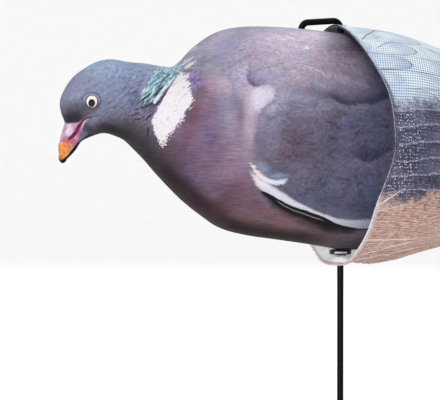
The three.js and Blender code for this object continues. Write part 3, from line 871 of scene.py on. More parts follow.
def paint_fields(across, down):
    """The numbers that the plumage's finish reads. Those in millimetres are signed distances from
    an edge, positive inside; the others say from 0 to 1 how much of something there is."""
    white = np.maximum(patch(across, down, WHITE_PATCH), strokes(across, down, NAPE_STROKES))
    (top_across, top_down), (square_across, square_down) = PATCH_TOP, PATCH_SQUARE
    behind_middle = (across - top_across) * square_across + (down - top_down) * square_down
    edge, widths = above_line(across, down, WING_EDGE_LINE)
    pixels = {
        "white_mm": white,
        "strip_mm": ribbon(across, down, WHITE_STRIP),
        "fold_shade_mm": strokes(across, down, DARK_FOLDS),
        "crease_mm": strokes(across, down, CREASES),
        "wisp_mm": strokes(across, down, WISPS),
        "edge_mm": edge,
        "edge_width_mm": widths[:, 0],
        "gap_width_mm": widths[:, 1],
        "split_mm": ribbon(across, down, WING_SPLIT),
        "crescent_mm": patch(across, down, WING_CRESCENT),
        "shoulder_mm": patch(across, down, SHOULDER),
    }
    wing_rows = smooth(*WING_UPPER_SEEN, down) * (1 - smooth(*WING_LOWER_SEEN, down))
    shares = {
        "ragged": 0.3 + 0.7 * smooth(-9, 4, behind_middle),
        "edge_rear": smooth(*EDGE_REAR_SEEN, across),
        "edge_front": 1 - smooth(*EDGE_FRONT_SEEN, across),
        "glint": smooth(*GLINT_START, across) * (1 - smooth(*GLINT_END, across)),
        "teal": together(across, down, TEAL_DABS),
        "violet": together(across, down, VIOLET_DABS),
        "neck": together(across, down, NECK_DABS),
        "head": 1 - smooth(*HEAD_REAR_SEEN, across),
        "wing": smooth(*WING_FRONT_SEEN, across) * wing_rows,
        "back": smooth(*BACK_FRONT_SEEN, across) * (1 - smooth(*BACK_LOWER_SEEN, down)),
        "shoulder_light": together(across, down, SHOULDER_LIGHTS),
        "bare": filled(across, down, BILL, 0.8),
    }
    return {name: values * PIXEL for name, values in pixels.items()} | shares


# Bird

def body_rings(share, turn):
    """The plain skin: on the section at this share of the length, the place at the angle turn from
    the upper outline is its middle, plus the cosine of the half depth, out by the sine of the half
    width with the folded wing's lift. Shares run down the rows and turns along them."""
    row = through(SECTIONS, share)[:, None]
    turn = turn[None, :, None]
    upper, lower, half_width = row[..., 0:2], row[..., 2:4], row[..., 4]
    x, z = np.moveaxis((upper + lower) / 2 + (upper - lower) / 2 * np.cos(turn), -1, 0)
    fall = np.exp(-(x - WING_FRONT) / WING_LOWER_FALL)
    lower_edge = WING_LOWER_REAR + (WING_LOWER_FRONT - WING_LOWER_REAR) * fall
    wing = smooth(0, WING_EDGE, x - WING_FRONT) * smooth(0, WING_EDGE, z - lower_edge)
    lift = WING_LIFT / HUNDREDTH * wing * (1 - smooth(*WING_TOP, z)) * np.abs(np.sin(turn[..., 0]))
    y = -np.sin(turn[..., 0]) * (half_width + lift)
    return np.stack([x * HUNDREDTH, y * HUNDREDTH, BODY_MIDDLE + z * HUNDREDTH], -1)


def ring_shares():
    """Shares of the length at which the rings stand evenly along the two outlines, and further
    apart over the body"""
    fine = np.linspace(0, 1, OUTLINE_SAMPLES)
    row = through(SECTIONS, fine)
    step = np.linalg.norm(np.diff(row[:, 0:2], axis=0), axis=1)
    step = step + np.linalg.norm(np.diff(row[:, 2:4], axis=0), axis=1)
    step = step / (1 + (COARSE_SPACING - 1) * smooth(COARSE_FROM - 0.05, COARSE_FROM, fine[1:]))
    along = np.concatenate([[0], np.cumsum(step)])
    return np.interp(np.linspace(0, along[-1], BODY_RINGS), along, fine)


def rounded_end(ring, tip):
    """Rings that close a ring in a quarter ellipse towards a tip"""
    middle = ring.mean(0)
    angle = (np.arange(1, CAP_RINGS + 1) / (CAP_RINGS + 1) * np.pi / 2)[:, None, None]
    return middle + (ring - middle) * np.cos(angle) + (tip - middle) * np.sin(angle)


def relief(across, down):
    """How far the moulded details stand out of the plain skin, in millimetres: the shoulder's ridge
    and tuft over their notch, the wing's edge over its gap, the folds of the neck, the ring round
    the eye, and the bill's skin with its gape"""
    shoulder = together(across, down, SHOULDER_LIGHTS) * smooth(-2.5, 1, patch(across, down, SHOULDER))
    edge, widths = above_line(across, down, WING_EDGE_LINE)
    gap = np.maximum(widths[:, 1], 0.2)
    on_edge = smooth(-1, 1, edge) * (1 - smooth(0, 5, edge - widths[:, 0])) * smooth(0, 3, gap)
    in_gap = smooth(-gap - 1.5, -gap / 2, edge) * (1 - smooth(-0.5, 1, edge)) * smooth(0.2, 2, gap)
    shade, rim = under_locks(across, down)
    x, y = EYE_SEEN
    from_eye = np.hypot(across - x, (down - y) * EYE_SEEN_WIDTH)
    ring, furrow = (
        np.exp(-((from_eye - away) / wide) ** 2) for away, wide in (EYE_RING, EYE_FURROW))
    bare = filled(across, down, BILL, 1)
    tip = bare * smooth(-1, 1.5, patch(across, down, ORANGE_TIP))
    raised = (
        SHOULDER_HEIGHT * shoulder + EDGE_HEIGHT * on_edge + LOCK_RIM_HEIGHT * rim
        + PATCH_HEIGHT * smooth(-1.5, 0.5, patch(across, down, WHITE_PATCH))
        + EYE_RING_HEIGHT * ring + BILL_SWELL_HEIGHT * bare * dab(across, down, *BILL_SWELL)
        + TIP_HEIGHT * tip)
    pressed = (
        GAP_DEPTH * in_gap + LOCK_DEPTH * shade + EYE_FURROW_DEPTH * furrow
        + FOLD_DEPTH * smooth(-1.6, 0.4, strokes(across, down, DARK_FOLDS))
        + GAPE_DEPTH * stroke(across, down, GAPE, 1)
        + GAPE_CORNER_DEPTH * stroke(across, down, GAPE_CORNER, 1))
    return raised - pressed


def outward(rings):
    """Unit normals of closed rings: the step round each one crossed with the step along them"""
    along = np.gradient(rings, axis=0)
    around = np.roll(rings, -1, axis=1) - np.roll(rings, 1, axis=1)
    return unit(np.cross(around, along))


def make_bird(finish):
    """The bird's skin: the plain rings with the relief along their normals, and its paint"""
    turn = np.linspace(0, 2 * np.pi, BODY_POINTS, endpoint=False)
    rings = body_rings(ring_shares(), turn)
    ends = [np.array([x * HUNDREDTH, 0, BODY_MIDDLE + z * HUNDREDTH]) for x, z in (BILL_TIP, RUMP_END)]
    bill_end = rounded_end(rings[0], ends[0])[::-1]
    rump_end = rounded_end(rings[-1], ends[1])
    rings = np.concatenate([bill_end, rings, rump_end])
    across, down = seen(rings.reshape(-1, 3))
    out = relief(across, down).reshape(rings.shape[:2] + (1,))
    rings = rings + outward(rings) * out
    places, faces = capped(rings, *ends)
    across, down = seen(places)
    under = np.append(np.tile((1 - np.cos(turn)) / 2, len(rings)), [0.5, 0.5])
    piece = make_piece(
        "painted_bird", places, faces, "painted_body", finish,
        paint_fields(across, down), {"undertone": as_light(undertones(across, down, under))})
    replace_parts(piece, "pigeon_body")


def eye_centre(side):
    """The middle of an eye on the cheek: the skin's place with the eye's own x and z"""
    turn = np.linspace(0.02, np.pi - 0.02, CHEEK_COLUMNS)
    rings = body_rings(np.linspace(0, 0.6, CHEEK_ROWS), turn)
    x, z = EYE[0] * HUNDREDTH, BODY_MIDDLE + EYE[1] * HUNDREDTH
    away = np.hypot(rings[..., 0] - x, rings[..., 2] - z)
    on_skin = rings[np.unravel_index(np.argmin(away), away.shape)]
    return np.array([x, side * abs(on_skin[1]), z])


def make_eyes(finish):
    """Two painted domes: a quarter ellipse turned about the eye's own axis, with a flat back inside
    the cheek"""
    turn = np.linspace(0, 2 * np.pi, EYE_POINTS, endpoint=False)
    lens = np.linspace(0.02, 1, EYE_RINGS) * np.pi / 2
    reach = np.concatenate([np.sin(lens), [0.96, 0.5]]) * EYE_DIAMETER / 2
    height = np.concatenate([np.cos(lens) * EYE_DOME, [0.1 - EYE_BACK, -EYE_BACK]])
    domes = []
    for side in (-1, 1):
        centre = eye_centre(side)
        out = np.array([0, side, 0])
        ring = np.stack([np.cos(turn), np.zeros_like(turn), side * np.sin(turn)], -1)
        rings = centre + reach[:, None, None] * ring + height[:, None, None] * out
        domes.append(capped(rings, centre + EYE_DOME * out, centre - EYE_BACK * out))
    make_piece("painted_eyes", *joined(domes), "painted_body", finish)


# Stake and washer

def back_height(x):
    """The height of the back above this x"""
    row = through(SECTIONS, np.linspace(0.5, 1, OUTLINE_SAMPLES // 2 + 1)) * HUNDREDTH
    return BODY_MIDDLE + np.interp(x, row[:, 0], row[:, 1])


def rounded_corner(before, corner, after):
    """The arc that rounds a corner of the stake's line, as rows of (x, z)"""
    arriving, leaving = unit(corner - before), unit(after - corner)
    turn = math.acos(arriving @ leaving)
    start = corner - arriving * HOOK_BEND_RADIUS * math.tan(turn / 2)
    inward = np.array([-arriving[1], arriving[0]])
    angle = np.linspace(0, turn, BEND_STEPS)[:, None]
    return start + HOOK_BEND_RADIUS * (inward * (1 - np.cos(angle)) + arriving * np.sin(angle))


def make_stake(finish):
    """The bent rod: circles along its line from the foot over the back and down into the peg"""
    peg_top = back_height(-HOOK_SPAN) + HOOK_OVER_BACK
    rod_top = peg_top + HOOK_SPAN * math.tan(HOOK_SLOPE)
    foot, top = np.array([0.0, 0.0]), np.array([0.0, rod_top])
    bar_end = np.array([-HOOK_SPAN, peg_top])
    peg = np.array([-HOOK_SPAN, back_height(-HOOK_SPAN) - PEG_DEPTH])
    arcs = [rounded_corner(foot, top, bar_end), rounded_corner(top, bar_end, peg)]
    corners = [foot + [0, k * FOOT_CHAMFER] for k in (0, 1, 2)]
    straight = np.linspace(corners[-1], arcs[0][0], ROD_STEPS)[1:-1]
    bar = np.linspace(arcs[0][-1], arcs[1][0], BAR_STEPS)[1:-1]
    line = np.vstack([corners, straight, arcs[0], bar, arcs[1], peg])
    path = np.insert(line, 1, 0, axis=1)
    radius = np.full(len(path), STAKE_RADIUS, float)
    radius[0] = STAKE_RADIUS - FOOT_CHAMFER
    rings = tube(path, np.array([0.0, 1, 0]), radius, ROD_POINTS)
    places, faces = capped(rings, path[0], path[-1])
    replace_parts(make_piece("ground_rod", places, faces, "black_stake", finish), "ground_stake")


def arc(x, z, radius, start, end, steps=6):
    """Places on an arc in the (reach, z) plane between two angles in degrees"""
    angle = np.radians(np.linspace(start, end, steps))
    return np.column_stack([x + radius * np.cos(angle), z + radius * np.sin(angle)])


def turned(outline, turn):
    """Rings that an outline's places of (reach, z) draw when it turns about the stake's axis"""
    reach, z = outline[:, 0, None], outline[:, 1, None]
    return np.stack([reach * np.cos(turn), reach * np.sin(turn), z + 0 * turn], -1)


def make_washer(finish):
    """The rubber washer: its outline turned about the stake's axis, with a shallow flat groove
    round the rim"""
    round_off = WASHER_RADIUS - WASHER_EDGE_RADIUS
    rounding = WASHER_HOLE_ROUNDING
    inner = WASHER_HOLE_RADIUS + rounding
    groove = WASHER_RADIUS - WASHER_GROOVE_DEPTH
    middle = (WASHER_TOP + WASHER_BOTTOM) / 2
    outline = np.vstack([
        arc(inner, WASHER_BOTTOM + rounding, rounding, 180, 270, 4),
        arc(round_off, WASHER_BOTTOM + WASHER_EDGE_RADIUS, WASHER_EDGE_RADIUS, -90, 0),
        [(groove, middle + side * WASHER_GROOVE_HALF_HEIGHT) for side in (-1, 1)],
        arc(round_off, WASHER_TOP - WASHER_EDGE_RADIUS, WASHER_EDGE_RADIUS, 0, 90),
        arc(inner, WASHER_TOP - rounding, rounding, 90, 180, 4),
    ])
    rings = turned(outline, np.linspace(0, 2 * np.pi, WASHER_POINTS, endpoint=False))
    faces = grid_faces(*rings.shape[:2], join_rows=True).tolist()
    piece = make_piece("rubber_washer", rings.reshape(-1, 3), faces, "black_rubber", finish)
    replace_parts(piece, "stake_washer")


# Wind sleeve

def sleeve_rings(share, turn):
    """The cloth's own place in the middle of the wall: on the section at this share of the length,
    a rounded diamond whose half height and half width follow the sections. Its middle droops with
    the square of the share, the mouth's edge reaches forwards at its top and bottom and has its own
    bends, and the stake draws the floor up under the washer."""
    form = through(SLEEVE_SECTIONS, share)[:, None]
    along, turn = form[..., 0], turn[None, :]
    half_height = MOUTH_HEIGHT / 2 * form[..., 1] - SLEEVE_WALL / 2
    half_width = MOUTH_WIDTH / 2 * form[..., 2] - SLEEVE_WALL / 2
    sewn = smooth(*TAIL_CLOSES, along)
    half_height = half_height * (1 - sewn) + TAIL_GAP * sewn
    power = 2 / form[..., 3]
    up = np.sign(np.cos(turn)) * np.abs(np.cos(turn)) ** power
    aside = -np.sign(np.sin(turn)) * np.abs(np.sin(turn)) ** power
    degrees = np.degrees(np.minimum(turn, 2 * np.pi - turn))
    lip, sag = LIP_REACH * np.cos(turn) ** 2, 0
    for at, wide, forward, down in MOUTH_BENDS:
        bend = np.exp(-((degrees - at) / wide) ** 2)
        lip, sag = lip + forward * bend, sag + down * bend
    fading = 1 - smooth(0, LIP_FADE, SLEEVE_LENGTH * along)
    x = SLEEVE_LENGTH * along - MOUTH_TO_STAKE - lip * fading
    y = half_width * aside
    z = MOUTH_MIDDLE - TAIL_DROOP * along ** 2 + half_height * up - sag * fading
    ahead = np.where(x < 0, PIN_SPREAD_AHEAD, PIN_SPREAD)
    pinned = np.where(up < 0, np.exp(-(x / ahead) ** 2 - (y / PIN_SPREAD) ** 2), 0)
    pinned_floor = WASHER_BOTTOM - SLEEVE_WALL / 2 - PIN_GAP
    z = z + (pinned_floor - z) * pinned
    return np.stack([x + 0 * y, y, z], -1)


def way(rings, axis):
    """How far each place is from the first one, measured along its row or column"""
    steps = np.linalg.norm(np.diff(rings, axis=axis), axis=-1)
    first = np.zeros_like(np.take(steps, [0], axis=axis))
    return np.concatenate([first, np.cumsum(steps, axis=axis)], axis=axis)


def folds(from_top, girth, behind):
    """How far the cloth's folds stand out, in millimetres, and where their crests are: creases that
    fan out from the stake's two holes and fade with the way from them, over slow waves along the
    cloth"""
    out = 0.5 * np.sin(behind / 17 + 5 * from_top / girth) * smooth(15, 60, behind)
    out = out + 0.6 * np.sin(from_top / 21 + behind / 45) * smooth(10, 50, behind)
    crest = np.zeros_like(out)
    for pin, (creases, reach, height) in ((girth, FLOOR_CREASES), (0 * girth, ROOF_CREASES)):
        aside = np.abs(from_top - pin)
        back = behind - MOUTH_TO_STAKE
        radius = np.hypot(aside, back)
        angle = np.arctan2(aside, back) + 0.12 * np.sin(radius / 9)
        wave = np.abs(np.sin(creases / 2 * angle + 0.4)) ** 0.7
        share = np.exp(-(radius / reach) ** 2) * smooth(8, 22, radius) * smooth(0.5, 6, behind)
        out = out + height * share * (1 - 2 * wave)
        crest = np.maximum(crest, share * smooth(0.35, 0.05, wave))
    return out * smooth(2, 24, behind), crest


def cut_eyelets(places, faces):
    """The cloth with a round hole for the stake in its floor and its roof: what lies near the axis
    is drawn aside to the hole's rim, and the faces wholly inside are cut out"""
    reach = np.hypot(places[:, 0], places[:, 1])
    spare = (EYELET_PULL - EYELET_RADIUS) / (EYELET_PULL - EYELET_CUT)
    wanted = np.where(reach < EYELET_CUT, EYELET_RADIUS, EYELET_RADIUS + (reach - EYELET_CUT) * spare)
    wanted = np.where(reach < EYELET_PULL, wanted, reach)
    direction = places[:, :2] / np.maximum(reach, 1e-6)[:, None]
    places = np.column_stack([direction * wanted[:, None], places[:, 2]])
    return places, faces[~(reach[faces] < EYELET_CUT).all(1)]


def make_sleeve(outside, inside):
    """The sleeve's cloth, with the ways round and along it that its print and weave follow"""
    share = (np.arange(SLEEVE_RINGS) / (SLEEVE_RINGS - 1)) ** RING_CROWDING
    turn = np.linspace(0, 2 * np.pi, SLEEVE_POINTS, endpoint=False)
    rings = sleeve_rings(share, turn)
    half = SLEEVE_POINTS // 2
    down_side = way(rings[:, :half + 1], 1)
    from_top = np.concatenate([down_side, down_side[:, half - 1:0:-1]], axis=1)
    girth = down_side[:, -1:] + 0 * from_top
    behind = way(rings, 0)
    out, crest = folds(from_top, girth, behind)
    rings = rings + outward(rings) * out[..., None]
    level = np.cos(np.pi * from_top / girth)
    places, faces = cut_eyelets(rings.reshape(-1, 3), grid_faces(SLEEVE_RINGS, SLEEVE_POINTS))
    used, faces = np.unique(faces, return_inverse=True)
    fields = {
        "from_top_mm": from_top, "from_bottom_mm": girth - from_top, "behind_mm": behind,
        "level": level, "crest": crest, "share": share[:, None] + 0 * from_top,
    }
    fields = {name: values.ravel()[used] for name, values in fields.items()}
    faces = faces.reshape(-1, 4).tolist()
    cloth = make_piece("wind_sleeve_cloth", places[used], faces, "printed_cloth", outside, fields)
    cloth.data.materials.append(inside)
    wall = cloth.modifiers.new("cloth_thickness", "SOLIDIFY")
    wall.thickness = CLOTH_THICKNESS * MM
    wall.offset = 0
    wall.use_even_offset = True
    wall.material_offset = 1
    wall.material_offset_rim = 1
    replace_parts(cloth, "wind_sleeve")
    return cloth


def coiled(edge, inward, out, loops, reach, lift):
    """A thread sewn over a cloth's edge: it goes round a flat ellipse that lies over the edge, once
    for each loop, while it moves along it. Gives its path and the direction out of the ellipse."""
    steps = loops * LOOP_STEPS
    place = np.arange(steps) / steps * len(edge)
    near = place.astype(int)
    part = (place - near)[:, None]
    at, into, away = (
        row[near % len(row)] * (1 - part) + row[(near + 1) % len(row)] * part
        for row in (edge, inward, out))
    turn = (2 * np.pi * np.arange(steps) / LOOP_STEPS)[:, None]
    middle = at + into * (reach / 2 - 0.4)
    path = middle - into * (reach / 2 + 0.1) * np.cos(turn) + away * lift * np.sin(turn)
    return path, -into * np.cos(turn) + away * np.sin(turn)


def closed_tube(path, across, radius):
    """The faces and places of a thread whose path ends where it starts"""
    longer = np.vstack([path[-2:], path, path[:2]])
    around = np.vstack([across[-2:], across, across[:2]])
    rings = tube(longer, around, radius)[2:-2]
    return rings.reshape(-1, 3), grid_faces(len(rings), THREAD_POINTS, join_rows=True).tolist()


def make_hem(finish):
    """The overlock stitch over the mouth's edge"""
    turn = np.linspace(0, 2 * np.pi, HEM_SAMPLES, endpoint=False)
    rings = sleeve_rings(np.array([0, 0.004, 0.01]), turn)
    inward = unit(rings[2] - rings[0])
    path, across = coiled(rings[0], inward, outward(rings)[0], HEM_LOOPS, HEM_REACH, HEM_LIFT)
    at_edge = np.cos(2 * np.pi * np.arange(len(path)) / LOOP_STEPS)
    return make_piece(
        "hem_overlock", *closed_tube(path, across, THREAD_RADIUS), "printed_cloth", finish,
        {"at_edge": np.repeat(at_edge, THREAD_POINTS)})


def make_eyelets(finish):
    """The stitched rims of the stake's two holes, in the sleeve's roof and in its floor"""
    angle = np.linspace(0, 2 * np.pi, EYELET_POINTS, endpoint=False)
    ring = np.column_stack([np.cos(angle), np.sin(angle), 0 * angle])
    up = np.tile([0.0, 0, 1], (len(ring), 1))
    near_axis = sleeve_rings(np.linspace(0, 0.04, 60), np.array([0, np.pi]))
    rims = []
    for wall in (0, 1):
        height = np.interp(0, near_axis[:, wall, 0], near_axis[:, wall, 2])
        edge = ring * (EYELET_RADIUS + 0.05) + [0, 0, height]
        path, across = coiled(edge, ring, up, EYELET_LOOPS, EYELET_REACH, EYELET_LIFT)
        rims.append(closed_tube(path, across, EYELET_THREAD_RADIUS))
    return make_piece("eyelet_stitching", *joined(rims), "printed_cloth", finish)


def make_tail_stitches(finish):
    """The two rows of running stitch that close the tail, on both sides of the cloth. Each stitch
    bows off the cloth, less towards its ends by the third power of the way from its middle."""
    round_tail = np.linspace(0.06, np.pi - 0.06, TAIL_SAMPLES) + np.pi / 2
    places = np.linspace(0, 1, TAIL_SAMPLES)
    dip = STITCH_DIP * np.abs(np.linspace(-1, 1, STITCH_POINTS)) ** 3
    bow = CLOTH_THICKNESS / 2 + STITCH_RISE - dip
    stitches = []
    for share, row in zip(TAIL_SEAMS, sleeve_rings(np.array(TAIL_SEAMS), round_tail)):
        middle = MOUTH_MIDDLE - TAIL_DROOP * share ** 2
        for start in range(TAIL_STITCHES):
            place = (start + np.linspace(*STITCH_PART, STITCH_POINTS)) / TAIL_STITCHES
            x, y = (np.interp(place, places, row[:, axis]) for axis in (0, 1))
            for side in (-1, 1):
                line = np.column_stack([x, y, middle + side * bow])
                rings = tube(line, np.array([0.0, 0, 1]), THREAD_RADIUS)
                stitches.append(capped(rings, rings[0].mean(0), rings[-1].mean(0)))
    return make_piece("tail_stitches", *joined(stitches), "printed_cloth", finish)


# Finishes

class Finish:
    """A material's nodes in the few words that all the finishes use. A value is a number, a colour
    or what another node gives, and places are in millimetres."""

    def __init__(self, name, **sockets):
        self.material = bpy.data.materials.new(name)
        self.material.use_nodes = True
        self.tree = self.material.node_tree
        self.shader = self.tree.nodes["Principled BSDF"]
        for socket, value in sockets.items():
            self.shader.inputs[socket.replace("_", " ")].default_value = value
        place = self.add("ShaderNodeTexCoord").outputs["Object"]
        self.place = self.scaled(place, 1 / MM)

    def put(self, socket, value):
        if isinstance(value, bpy.types.NodeSocket):
            self.tree.links.new(value, socket)
        else:
            socket.default_value = value

    def add(self, kind, values=None, **settings):
        node = self.tree.nodes.new(kind)
        for setting, value in settings.items():
            setattr(node, setting, value)
        for socket, value in (values or {}).items():
            self.put(node.inputs[socket], value)
        return node

    def math(self, operation, first, second=0.0):
        return self.add("ShaderNodeMath", {0: first, 1: second}, operation=operation).outputs[0]

    def plus(self, *values):
        return reduce(partial(self.math, "ADD"), values)

    def times(self, *values):
        return reduce(partial(self.math, "MULTIPLY"), values)

    def most(self, *values):
        """The greatest of several values"""
        return reduce(partial(self.math, "MAXIMUM"), values)

    def minus(self, first, second):
        return self.math("SUBTRACT", first, second)

    def scaled(self, vector, by):
        node = self.add("ShaderNodeVectorMath", {0: vector, "Scale": by}, operation="SCALE")
        return node.outputs[0]

    def field(self, name):
        return self.add("ShaderNodeAttribute", attribute_name=name).outputs["Fac"]

    def colour(self, name):
        return self.add("ShaderNodeAttribute", attribute_name=name).outputs["Color"]

    def parts(self, vector):
        return self.add("ShaderNodeSeparateXYZ", {0: vector}).outputs

    def step(self, value, low, high):
        """0 up to low, 1 from high on and an even S between them"""
        node = self.add(
            "ShaderNodeMapRange", {"Value": value, "From Min": low, "From Max": high},
            interpolation_type="SMOOTHSTEP")
        return node.outputs["Result"]

    def blend(self, share, first, second):
        node = self.add("ShaderNodeMix", data_type="RGBA")
        self.put(node.inputs[0], share)
        self.put(node.inputs[6], first)
        self.put(node.inputs[7], second)
        return node.outputs[2]

    def noise(self, place, size, detail=2.0, rough=0.5):
        """Cloudy noise with lumps of about this size, around 0"""
        node = self.add(
            "ShaderNodeTexNoise",
            {"Vector": place, "Scale": 1 / size, "Detail": detail, "Roughness": rough})
        return self.minus(node.outputs[0], 0.5)

    def streaks(self, place, rise, long, wide, detail=1.5, shift=0, deep=None):
        """Noise drawn out along a direction in the bird's own plane, which rises backwards by this
        many degrees, and as deep across that plane as it is wide, or by its own size"""
        turned = self.add(
            "ShaderNodeMapping",
            {"Vector": place, "Location": (shift, shift, 0), "Rotation": (0, -math.radians(rise), 0),
             "Scale": (long, deep or wide, wide)},
            vector_type="TEXTURE").outputs[0]
        return self.noise(turned, 1, detail)

    def wavy(self, place, size, by):
        """The place, moved about by noise with waves of this size"""
        node = self.add("ShaderNodeTexNoise", {"Vector": place, "Scale": 1 / size, "Detail": 2.0})
        centred = self.add(
            "ShaderNodeVectorMath", {0: node.outputs["Color"], 1: (0.5, 0.5, 0.5)}, operation="SUBTRACT")
        moved = self.scaled(centred.outputs[0], by)
        return self.add("ShaderNodeVectorMath", {0: place, 1: moved}, operation="ADD").outputs[0]

    def away(self, first, second):
        """The length of a way with these two parts, square to each other"""
        squares = self.plus(self.times(first, first), self.times(second, second))
        return self.math("SQRT", squares)

    def lit(self, colour, by):
        """The colour made lighter or darker by this share around 0"""
        return self.scaled(colour, self.plus(by, 1.0))

    def tinted(self, cover, colour, by):
        """The colour multiplied by three numbers where cover is 1"""
        node = self.add("ShaderNodeVectorMath", {0: colour, 1: by}, operation="MULTIPLY")
        return self.blend(cover, colour, node.outputs[0])

    def finished(self, colour, roughness, height):
        """Joins the colour, the roughness and the relief, in millimetres, to the shader"""
        bump = self.add("ShaderNodeBump", {"Distance": MM, "Height": height, "Strength": 1.0})
        self.put(self.shader.inputs["Base Color"], colour)
        self.put(self.shader.inputs["Roughness"], roughness)
        self.put(self.shader.inputs["Normal"], bump.outputs[0])
        return self.material


def plumage_noises(f):
    """The shares of the bird's regions, and the noises that several parts of the plumage read"""
    n = SimpleNamespace(**{name: f.field(name) for name in ("neck", "head", "wing", "back", "bare")})
    plain = f.times(f.minus(1.0, n.head), f.minus(1.0, n.wing))
    n.breast = f.times(plain, f.minus(1.0, n.neck), f.minus(1.0, f.times(n.back, 0.95)))
    barbs = f.wavy(f.place, size=26, by=4)
    n.level = f.streaks(barbs, rise=-3, long=8, wide=0.58, deep=5)
    n.fine = f.streaks(barbs, rise=-4, long=7, wide=0.45, detail=1.0, shift=31, deep=4)
    n.slanting = f.streaks(f.wavy(f.place, size=14, by=5), rise=42, long=7, wide=0.8)
    n.wisps = f.streaks(f.wavy(f.place, size=15, by=19), rise=-18, long=8, wide=1.5, detail=2.5)
    n.fringe = f.streaks(f.wavy(f.place, size=6, by=1.5), rise=38, long=6, wide=0.75, shift=17)
    n.mottle = f.noise(f.place, size=2.2, detail=3.0, rough=0.6)
    return n


def feather_shade(f, n):
    """How much lighter or darker the feathers make each place, around 0: barbs that lie level on
    the breast and slanting on the neck, curled on the wing and wispy on the back"""
    curls = f.streaks(f.wavy(f.place, size=17, by=26), rise=10, long=10, wide=2.2, detail=2.5)
    hairlines = f.streaks(
        f.wavy(f.place, size=8, by=11), rise=15, long=5, wide=0.9, detail=2.0, shift=13)
    pleats = f.streaks(f.wavy(f.place, size=22, by=8), rise=80, long=17, wide=3.4, shift=41, deep=6)
    clouds = f.noise(f.place, size=13, detail=4.0, rough=0.55)
    grain = f.noise(f.place, size=0.75)
    return f.plus(
        f.times(n.level, n.breast, 0.95),
        f.times(n.slanting, f.plus(f.times(n.neck, 1.4), f.times(n.head, 0.6))),
        f.times(n.wisps, n.back, 0.85),
        f.times(curls, n.wing, 1.15),
        f.times(hairlines, f.plus(f.times(n.wing, 1.15), f.times(n.back, 1.05))),
        f.times(pleats, n.breast, 0.5),
        f.times(clouds, f.plus(0.35, f.times(n.wing, 0.75))),
        f.times(n.mottle, f.plus(0.15, f.times(n.head, 0.8), f.times(n.bare, 0.7))),
        f.times(grain, f.plus(0.26, f.times(f.most(n.head, n.back, n.wing), 0.2))))


def feather_colour(f, n, shade):
    """The undertones with the feathers' shade, cooler and warmer in large soft areas, with pale and
    dark lines along the contours of a noise, the breast's fine barbs, the drawn creases painted as
    shade, and the drawn pale wisps, one of them a painted highlight"""
    colour = f.lit(f.colour("undertone"), shade)
    hues = f.noise(f.place, size=9, detail=1.5)
    feathered = f.minus(1.0, n.bare)
    colour = f.tinted(f.times(f.step(hues, 0.0, 0.18), feathered), colour, (0.94, 0.99, 1.06))
    colour = f.tinted(f.times(f.step(hues, 0.0, -0.18), feathered), colour, (1.06, 0.97, 0.98))

    contours = f.noise(f.wavy(f.place, size=22, by=14), size=24)
    contours = f.math("FRACT", f.times(contours, 15))
    pale_line = f.times(
        f.step(contours, 0.16, 0.03), f.step(n.mottle, -0.06, 0.12),
        f.plus(f.times(n.wing, 0.32), f.times(n.back, 0.22)))
    colour = f.tinted(pale_line, colour, (1.7, 1.65, 1.55))
    dark_line = f.times(
        f.step(contours, 0.8, 0.97), f.plus(f.times(n.wing, 0.25), f.times(n.back, 0.15)))
    colour = f.tinted(dark_line, colour, (0.6, 0.56, 0.6))
    barbs = f.times(n.breast, 0.35)
    colour = f.tinted(f.times(f.step(n.fine, 0.06, 0.18), barbs), colour, (1.45, 1.4, 1.4))
    colour = f.tinted(f.times(f.step(n.fine, -0.06, -0.18), barbs), colour, (0.62, 0.56, 0.62))

    # Painted shade in the drawn creases, then the pale drawn wisps, one of them a painted highlight
    crease = f.step(f.plus(f.field("crease_mm"), f.times(n.wisps, 2.5)), -0.7, 0.4)
    colour = f.tinted(f.times(crease, 0.75), colour, (0.56, 0.5, 0.56))
    wisp = f.step(f.plus(f.field("wisp_mm"), f.times(n.wisps, 3)), -0.6, 0.6)
    return f.tinted(f.times(wisp, 0.5), colour, (1.75, 1.75, 1.7))


def neck_gloss(f, n, colour):
    """The neck's glossy teal and violet flecks, and the dark and pale gaps between its feathers"""
    fleck = f.streaks(
        f.wavy(f.place, size=11, by=2.5), rise=54, long=4.2, wide=0.72, detail=1.0, shift=9, deep=2)
    teal = f.blend(f.step(fleck, -0.03, 0.15), tone(128, 168, 178), tone(194, 228, 236))
    teal = f.blend(f.step(fleck, -0.04, -0.16), teal, tone(88, 110, 130))
    violet = f.blend(f.step(fleck, -0.1, 0.1), tone(98, 82, 128), tone(164, 148, 188))
    glosses = (("teal", teal, (0.2, 0.75), 0.85), ("violet", violet, (0.25, 0.7), 0.62))
    for name, gloss, flecked, strength in glosses:
        share = f.field(name)
        cover = f.step(f.plus(share, f.times(fleck, 0.8)), *flecked)
        colour = f.blend(f.times(cover, f.step(share, 0.04, 0.2), strength), colour, gloss)
    gaps = f.streaks(
        f.wavy(f.place, size=9, by=3), rise=32, long=7, wide=0.8, detail=1.0, shift=23)
    in_neck = f.times(n.neck, f.step(f.field("white_mm"), 0.0, -2.0))
    dark, pale = f.times(in_neck, 0.8), f.times(in_neck, 0.6)
    colour = f.tinted(f.times(f.step(gaps, 0.04, 0.14), dark), colour, (0.5, 0.5, 0.58))
    return f.tinted(f.times(f.step(gaps, -0.04, -0.14), pale), colour, (1.4, 1.4, 1.4))


